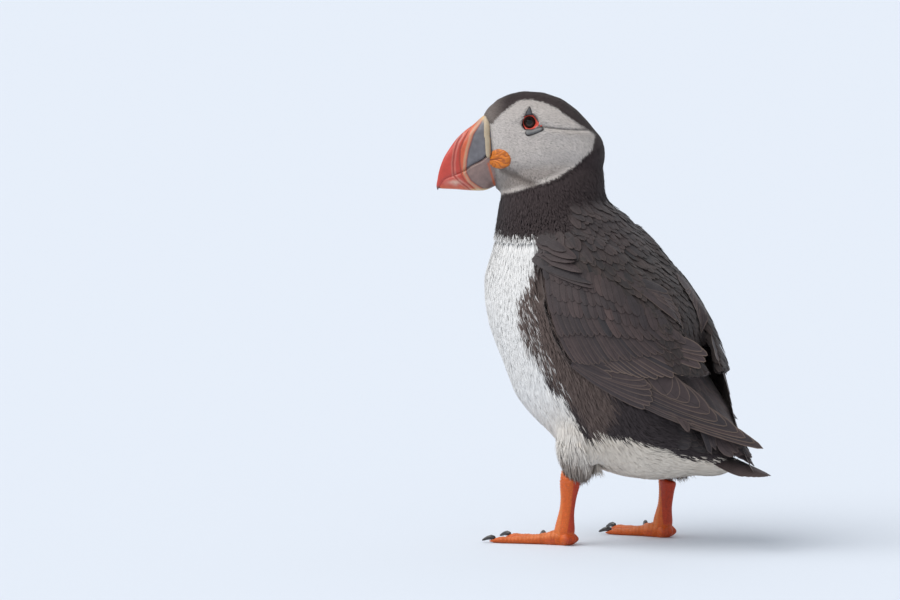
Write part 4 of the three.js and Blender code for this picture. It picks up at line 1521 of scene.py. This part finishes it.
rosetteOutline = [
    (29.4, -8.0), (28.2, -10.4), (25.2, -12.0), (21.4, -11.8), (18.3, -9.8), (17.6, -7), (19.0, -3.9),
    (22.2, -1.9), (25, -1.9), (27.0, -3.2), (27.6, -5.8),
]
gapeLine = [(29.4, -8.0), (26, -7.3), (22.5, -6.4)]
foldsFrom = (27.0, -7.2)


def rosetteRelief(spots):
    off = spots - foldsFrom
    ray = np.arctan2(off[:, 1], off[:, 0])
    folds = np.sin(ray * 13 + 3.2 * mottle(spots, 2.6, 2.0)) * blend(np.hypot(*off.T), 0.8, 2.5)
    return 0.17 * folds - 0.55 * hill(lineDistance(spots, gapeLine), 0.35)


def rosetteTone(spots):
    # painted shade where the relief dips, in the folds and along the gape line, with a random mottle of the
    # same dark tone
    shade = blend(rosetteRelief(spots), -0.02, -0.22) * 0.75
    return tinted(hornTones["rosette"], [("wrinkle", shade + 0.15 * mottle(spots, 0.8))])


def plateRelief(spots):
    return spots[:, 0] * 0


def plateTone(spots):
    tone = hornTones["plate"] * (1 + 0.15 * mottle(spots, 1.2)[:, None])
    rim = np.maximum(inside(spots, upperPlate), inside(spots, lowerPlate))
    return towards(tone, hornTones["tip"] * 0.3, blend(rim, 0.55, 0.15))


eyePlate = {
    "sunk": 0.8, "grid": (96, 30), "relief": plateRelief, "tone": plateTone, "finish": "plate",
    "slot": "slate_horn",
}
pads = {
    "rosette": {
        "outline": rosetteOutline, "lift": 1.0, "sunk": 0.9, "grid": (150, 60), "relief": rosetteRelief,
        "tone": rosetteTone, "finish": "wattle", "slot": "gape_skin", "node": "gape_rosette_",
    },
    "upperEyePlate": dict(eyePlate, outline=upperPlate, lift=0.55, node="eye_plate_upper_"),
    "lowerEyePlate": dict(eyePlate, outline=lowerPlate, lift=0.65, node="eye_plate_lower_"),
}
eyePlan = {
    "radius": 4.6,
    "depth": 3.75,
    "opening": 3.1,
    "lidTube": 0.4,
    "lidLift": 0.1,
    "pupil": (21, 17),  # degrees from the middle, where one tone turns into the next
    "iris": (38, 46),
    "lash": (3.0, 2.75),
}


def closedCurve(outline):
    points = np.array([*outline, outline[0]], float)
    return lambda share: curve(points, share % 1.0)


def pad(name, word, side, plan):
    # a raised patch on the cheek: domed over its outline, and closed underneath
    sheet, rimAt = sheetOver(plan["outline"], side), closedCurve(plan["outline"])
    centre, lift, sunk = np.mean(plan["outline"], axis=0), plan["lift"], plan["sunk"]

    def place(u, v):
        reach, back = np.clip(v / 0.85, 0, 1), np.clip((v - 0.85) / 0.15, 0, 1)
        spots = centre + (rimAt(u) - centre) * (reach * (1 - back))[:, None]
        dome = (1 - reach**4) ** 0.5
        height = -sunk + (lift + sunk) * dome + plan["relief"](spots) * blend(reach, 1.0, 0.85)
        return sheet(spots, np.where(back > 0, -sunk, height))

    mesh = wrapped(name + word.capitalize(), *plan["grid"], place)
    setTone(mesh, plan["tone"](headSpots(pointsOf(mesh))))
    asPiece(name + word.capitalize(), mesh, finish[plan["finish"]], (plan["node"] + word,))


def lid(word, side):
    # the red lid: a soft rim from the eye's opening out to a pointed outline
    sheet, rimAt = sheetOver(lidOutline, side), closedCurve(lidOutline)

    def place(u, v):
        rim = rimAt(u)
        inner = eyeSpot + unit(rim - eyeSpot) * eyePlan["opening"]
        across = 0.5 - 0.5 * np.cos(v * 2 * np.pi)
        height = np.sin(v * 2 * np.pi) * eyePlan["lidTube"] + eyePlan["lidLift"]
        return sheet(inner + (rim - inner) * across[:, None], height)

    mesh = wrapped("lid" + word.capitalize(), 96, 20, place)
    fromEye = np.hypot(*(headSpots(pointsOf(mesh)) - eyeSpot).T)
    setTone(mesh, towards(hornTones["lid"], hornTones["seam"] * 0.4, blend(fromEye, *eyePlan["lash"])))
    asPiece("lid" + word.capitalize(), mesh, finish["lid"], ("eye_ring_" + word,))


def eyeball(word, side):
    sheet, radius = sheetOver(lidOutline, side), eyePlan["radius"]
    centre, front = (sheet(eyeSpot[None], -depth)[0] for depth in (eyePlan["depth"], 0))
    axis = unit((front - centre)[None])[0]
    first = unit(np.cross(axis, (0, 0, 1.0))[None])[0]
    second = np.cross(axis, first)

    def place(u, v):
        turn, fall = u * 2 * np.pi, v * np.pi
        ring = np.cos(turn)[:, None] * first + np.sin(turn)[:, None] * second
        return centre + radius * (np.cos(fall)[:, None] * axis + np.sin(fall)[:, None] * ring)

    mesh = wrapped("eye" + word.capitalize(), 64, 90, place)
    angle = np.degrees(np.arccos(np.clip((pointsOf(mesh) - centre) @ axis / radius, -1, 1)))
    rings = [("pupil", blend(angle, *eyePlan["pupil"])), ("ball", blend(angle, *eyePlan["iris"]))]
    setTone(mesh, tinted(hornTones["iris"], rings))
    asPiece("eye" + word.capitalize(), mesh, finish["eye"], ("eye_" + word,))


for word, side in sides.items():
    for name, plan in pads.items():
        pad(name, word, side, plan)
    lid(word, side)
    eyeball(word, side)
print("head")

# legs and feet

legPlan = {
    # lean tilts the edge of the painted shade down the shank
    "left": {"x": 31.1, "sole": 15.6, "toeOut": -8, "lean": -0.45},
    "right": {"x": -22.9, "sole": -8.4, "toeOut": 16, "lean": 0.3},
    "grow": 0.12,
    "voxel": 0.42,
    "rounds": 16,
    "joints": (12.5, 23.5, 31.5),  # along a toe
    "jointPush": 0.32,
    "toeRings": (0.10, 1.9),  # height and spacing
    "webFolds": (0.14, 95),  # height and number
    "heelRings": (0.16, 1.5),
    "shankRings": (0.08, 1.3),
}
# front is the leg's orange where lit, rear the same orange in painted shade, lit a painted highlight on the
# toes' tops, and web a darker red of its own, partly painted shade too
legTones = {
    "front": (0.60, 0.105, 0.010),
    "rear": (0.44, 0.036, 0.006),
    "web": (0.48, 0.060, 0.020),
    "lit": (0.68, 0.20, 0.05),
}
legTones = {name: np.array(color) for name, color in legTones.items()}
toePlan = {"inner": 29, "middle": 0, "outer": -29}  # degrees off the foot's own line
clawPlan = {"grow": 0.05, "voxel": 0.22, "rounds": 5, "tone": (0.030, 0.026, 0.026)}


def inFoot(points, word, side):
    # forward along the foot, to the bird's left, and height
    plan = legPlan[word]
    out = math.radians(plan["toeOut"]) * side
    off = points - (plan["x"], -plan["sole"], 0)
    forwardWay = np.array((math.sin(out), -math.cos(out), 0))
    leftWay = np.array((math.cos(out), math.sin(out), 0))
    return off @ forwardWay, off @ leftWay, off[:, 2]


def ripples(along, high, spacing):
    return high * np.sin(along * 2 * np.pi / spacing)


def leg(word, side):
    parts = [grown("leg_" + word, legPlan["grow"]), grown("foot_" + word, legPlan["grow"])]
    mesh = union("leg" + word.capitalize(), parts, legPlan["voxel"], legPlan["rounds"])
    points, normals = pointsOf(mesh), normalsOf(mesh)
    forward, left, height = inFoot(points, word, side)
    toe, gap = np.zeros(len(points)), np.full(len(points), 99.0)
    for angle in toePlan.values():
        turn = math.radians(-angle) * side
        along = forward * math.cos(turn) + left * math.sin(turn)
        across = np.abs(-forward * math.sin(turn) + left * math.cos(turn))
        toe = np.where(across < gap, along, toe)
        gap = np.minimum(gap, across)
    onToe = blend(gap, 3.2, 2.2) * (toe > -2)
    onWeb = blend(gap, 2.2, 3.4) * (height < 3.2) * (forward > 2)
    onFoot = blend(height, 8, 4) * blend(toe, 6, 10)
    onShank = blend(height, 5.0, 8.0)
    push = ripples(toe, *legPlan["toeRings"]) * onToe * blend(height, 0.8, 2.0)
    for joint in legPlan["joints"]:
        push += legPlan["jointPush"] * hill(toe - joint, 2.2) * onToe * blend(height, 1.0, 2.2)
    high, folds = legPlan["webFolds"]
    fan = np.sin(np.arctan2(left, forward) * folds) * onWeb
    push += high * fan * blend(np.hypot(forward, left), 6, 14)
    high, spacing = legPlan["heelRings"]
    wavy = height * 2 * np.pi / spacing + 1.5 * np.sin(forward)
    push += high * np.sin(wavy) * hill(height - 33, 5.5)
    push += ripples(height, *legPlan["shankRings"]) * blend(height, 7, 9) * (forward > 0)
    push += (0.95 * blend(height, 22, 33) + 0.45 + 1.1 * hill(height - 7, 5.5)) * (1 - onFoot)
    points = points + normals * push[:, None]
    points[:, 2] *= 1 - 0.22 * onFoot * blend(toe, 6, 22)
    points[:, 2] = np.maximum(points[:, 2], 0.0)
    setPoints(mesh, points)
    # painted shade on the shank's back half, its edge leaning with the leg, and at the heel; a painted
    # highlight on the toes' tops
    middle = -3.5 + 0.33 * (height - 6) * legPlan[word]["lean"]
    heelShade = 0.7 * blend(forward, -3, -6) * (1 - onShank)
    rear = np.maximum(blend(forward - middle, 0.25, -0.25) * onShank, heelShade)
    tone = towards(legTones["front"], legTones["web"], onWeb)
    tone = towards(tone, legTones["lit"], onToe * blend(height, 2.0, 4.5) * 0.6)
    tone = towards(tone, legTones["rear"], rear)
    setTone(mesh, tone * (1 + 0.08 * mottle(points[:, 1:], 1.5)[:, None]))
    asPiece("leg" + word.capitalize(), mesh, finish["leg"], ("leg_" + word, "foot_" + word))
    print("leg", word, len(mesh.polygons))


def claw(word, name):
    nodeName = f"claw_{word}_{name}"
    mesh = union("claw", [grown(nodeName, clawPlan["grow"])], clawPlan["voxel"], clawPlan["rounds"])
    setTone(mesh, np.array(clawPlan["tone"]) * (1 + 0.3 * mottle(pointsOf(mesh)[:, 1:], 0.7)[:, None]))
    asPiece("claw" + word.capitalize() + name.capitalize(), mesh, finish["claw"], (nodeName,))


for word, side in sides.items():
    leg(word, side)
    for name in toePlan:
        claw(word, name)

# floor

bm = bmesh.new()
bmesh.ops.create_grid(bm, x_segments=1, y_segments=1, size=20)
floor = placed("floor", meshFrom("floor", bm))
floor.data.materials.append(finish["floor"])
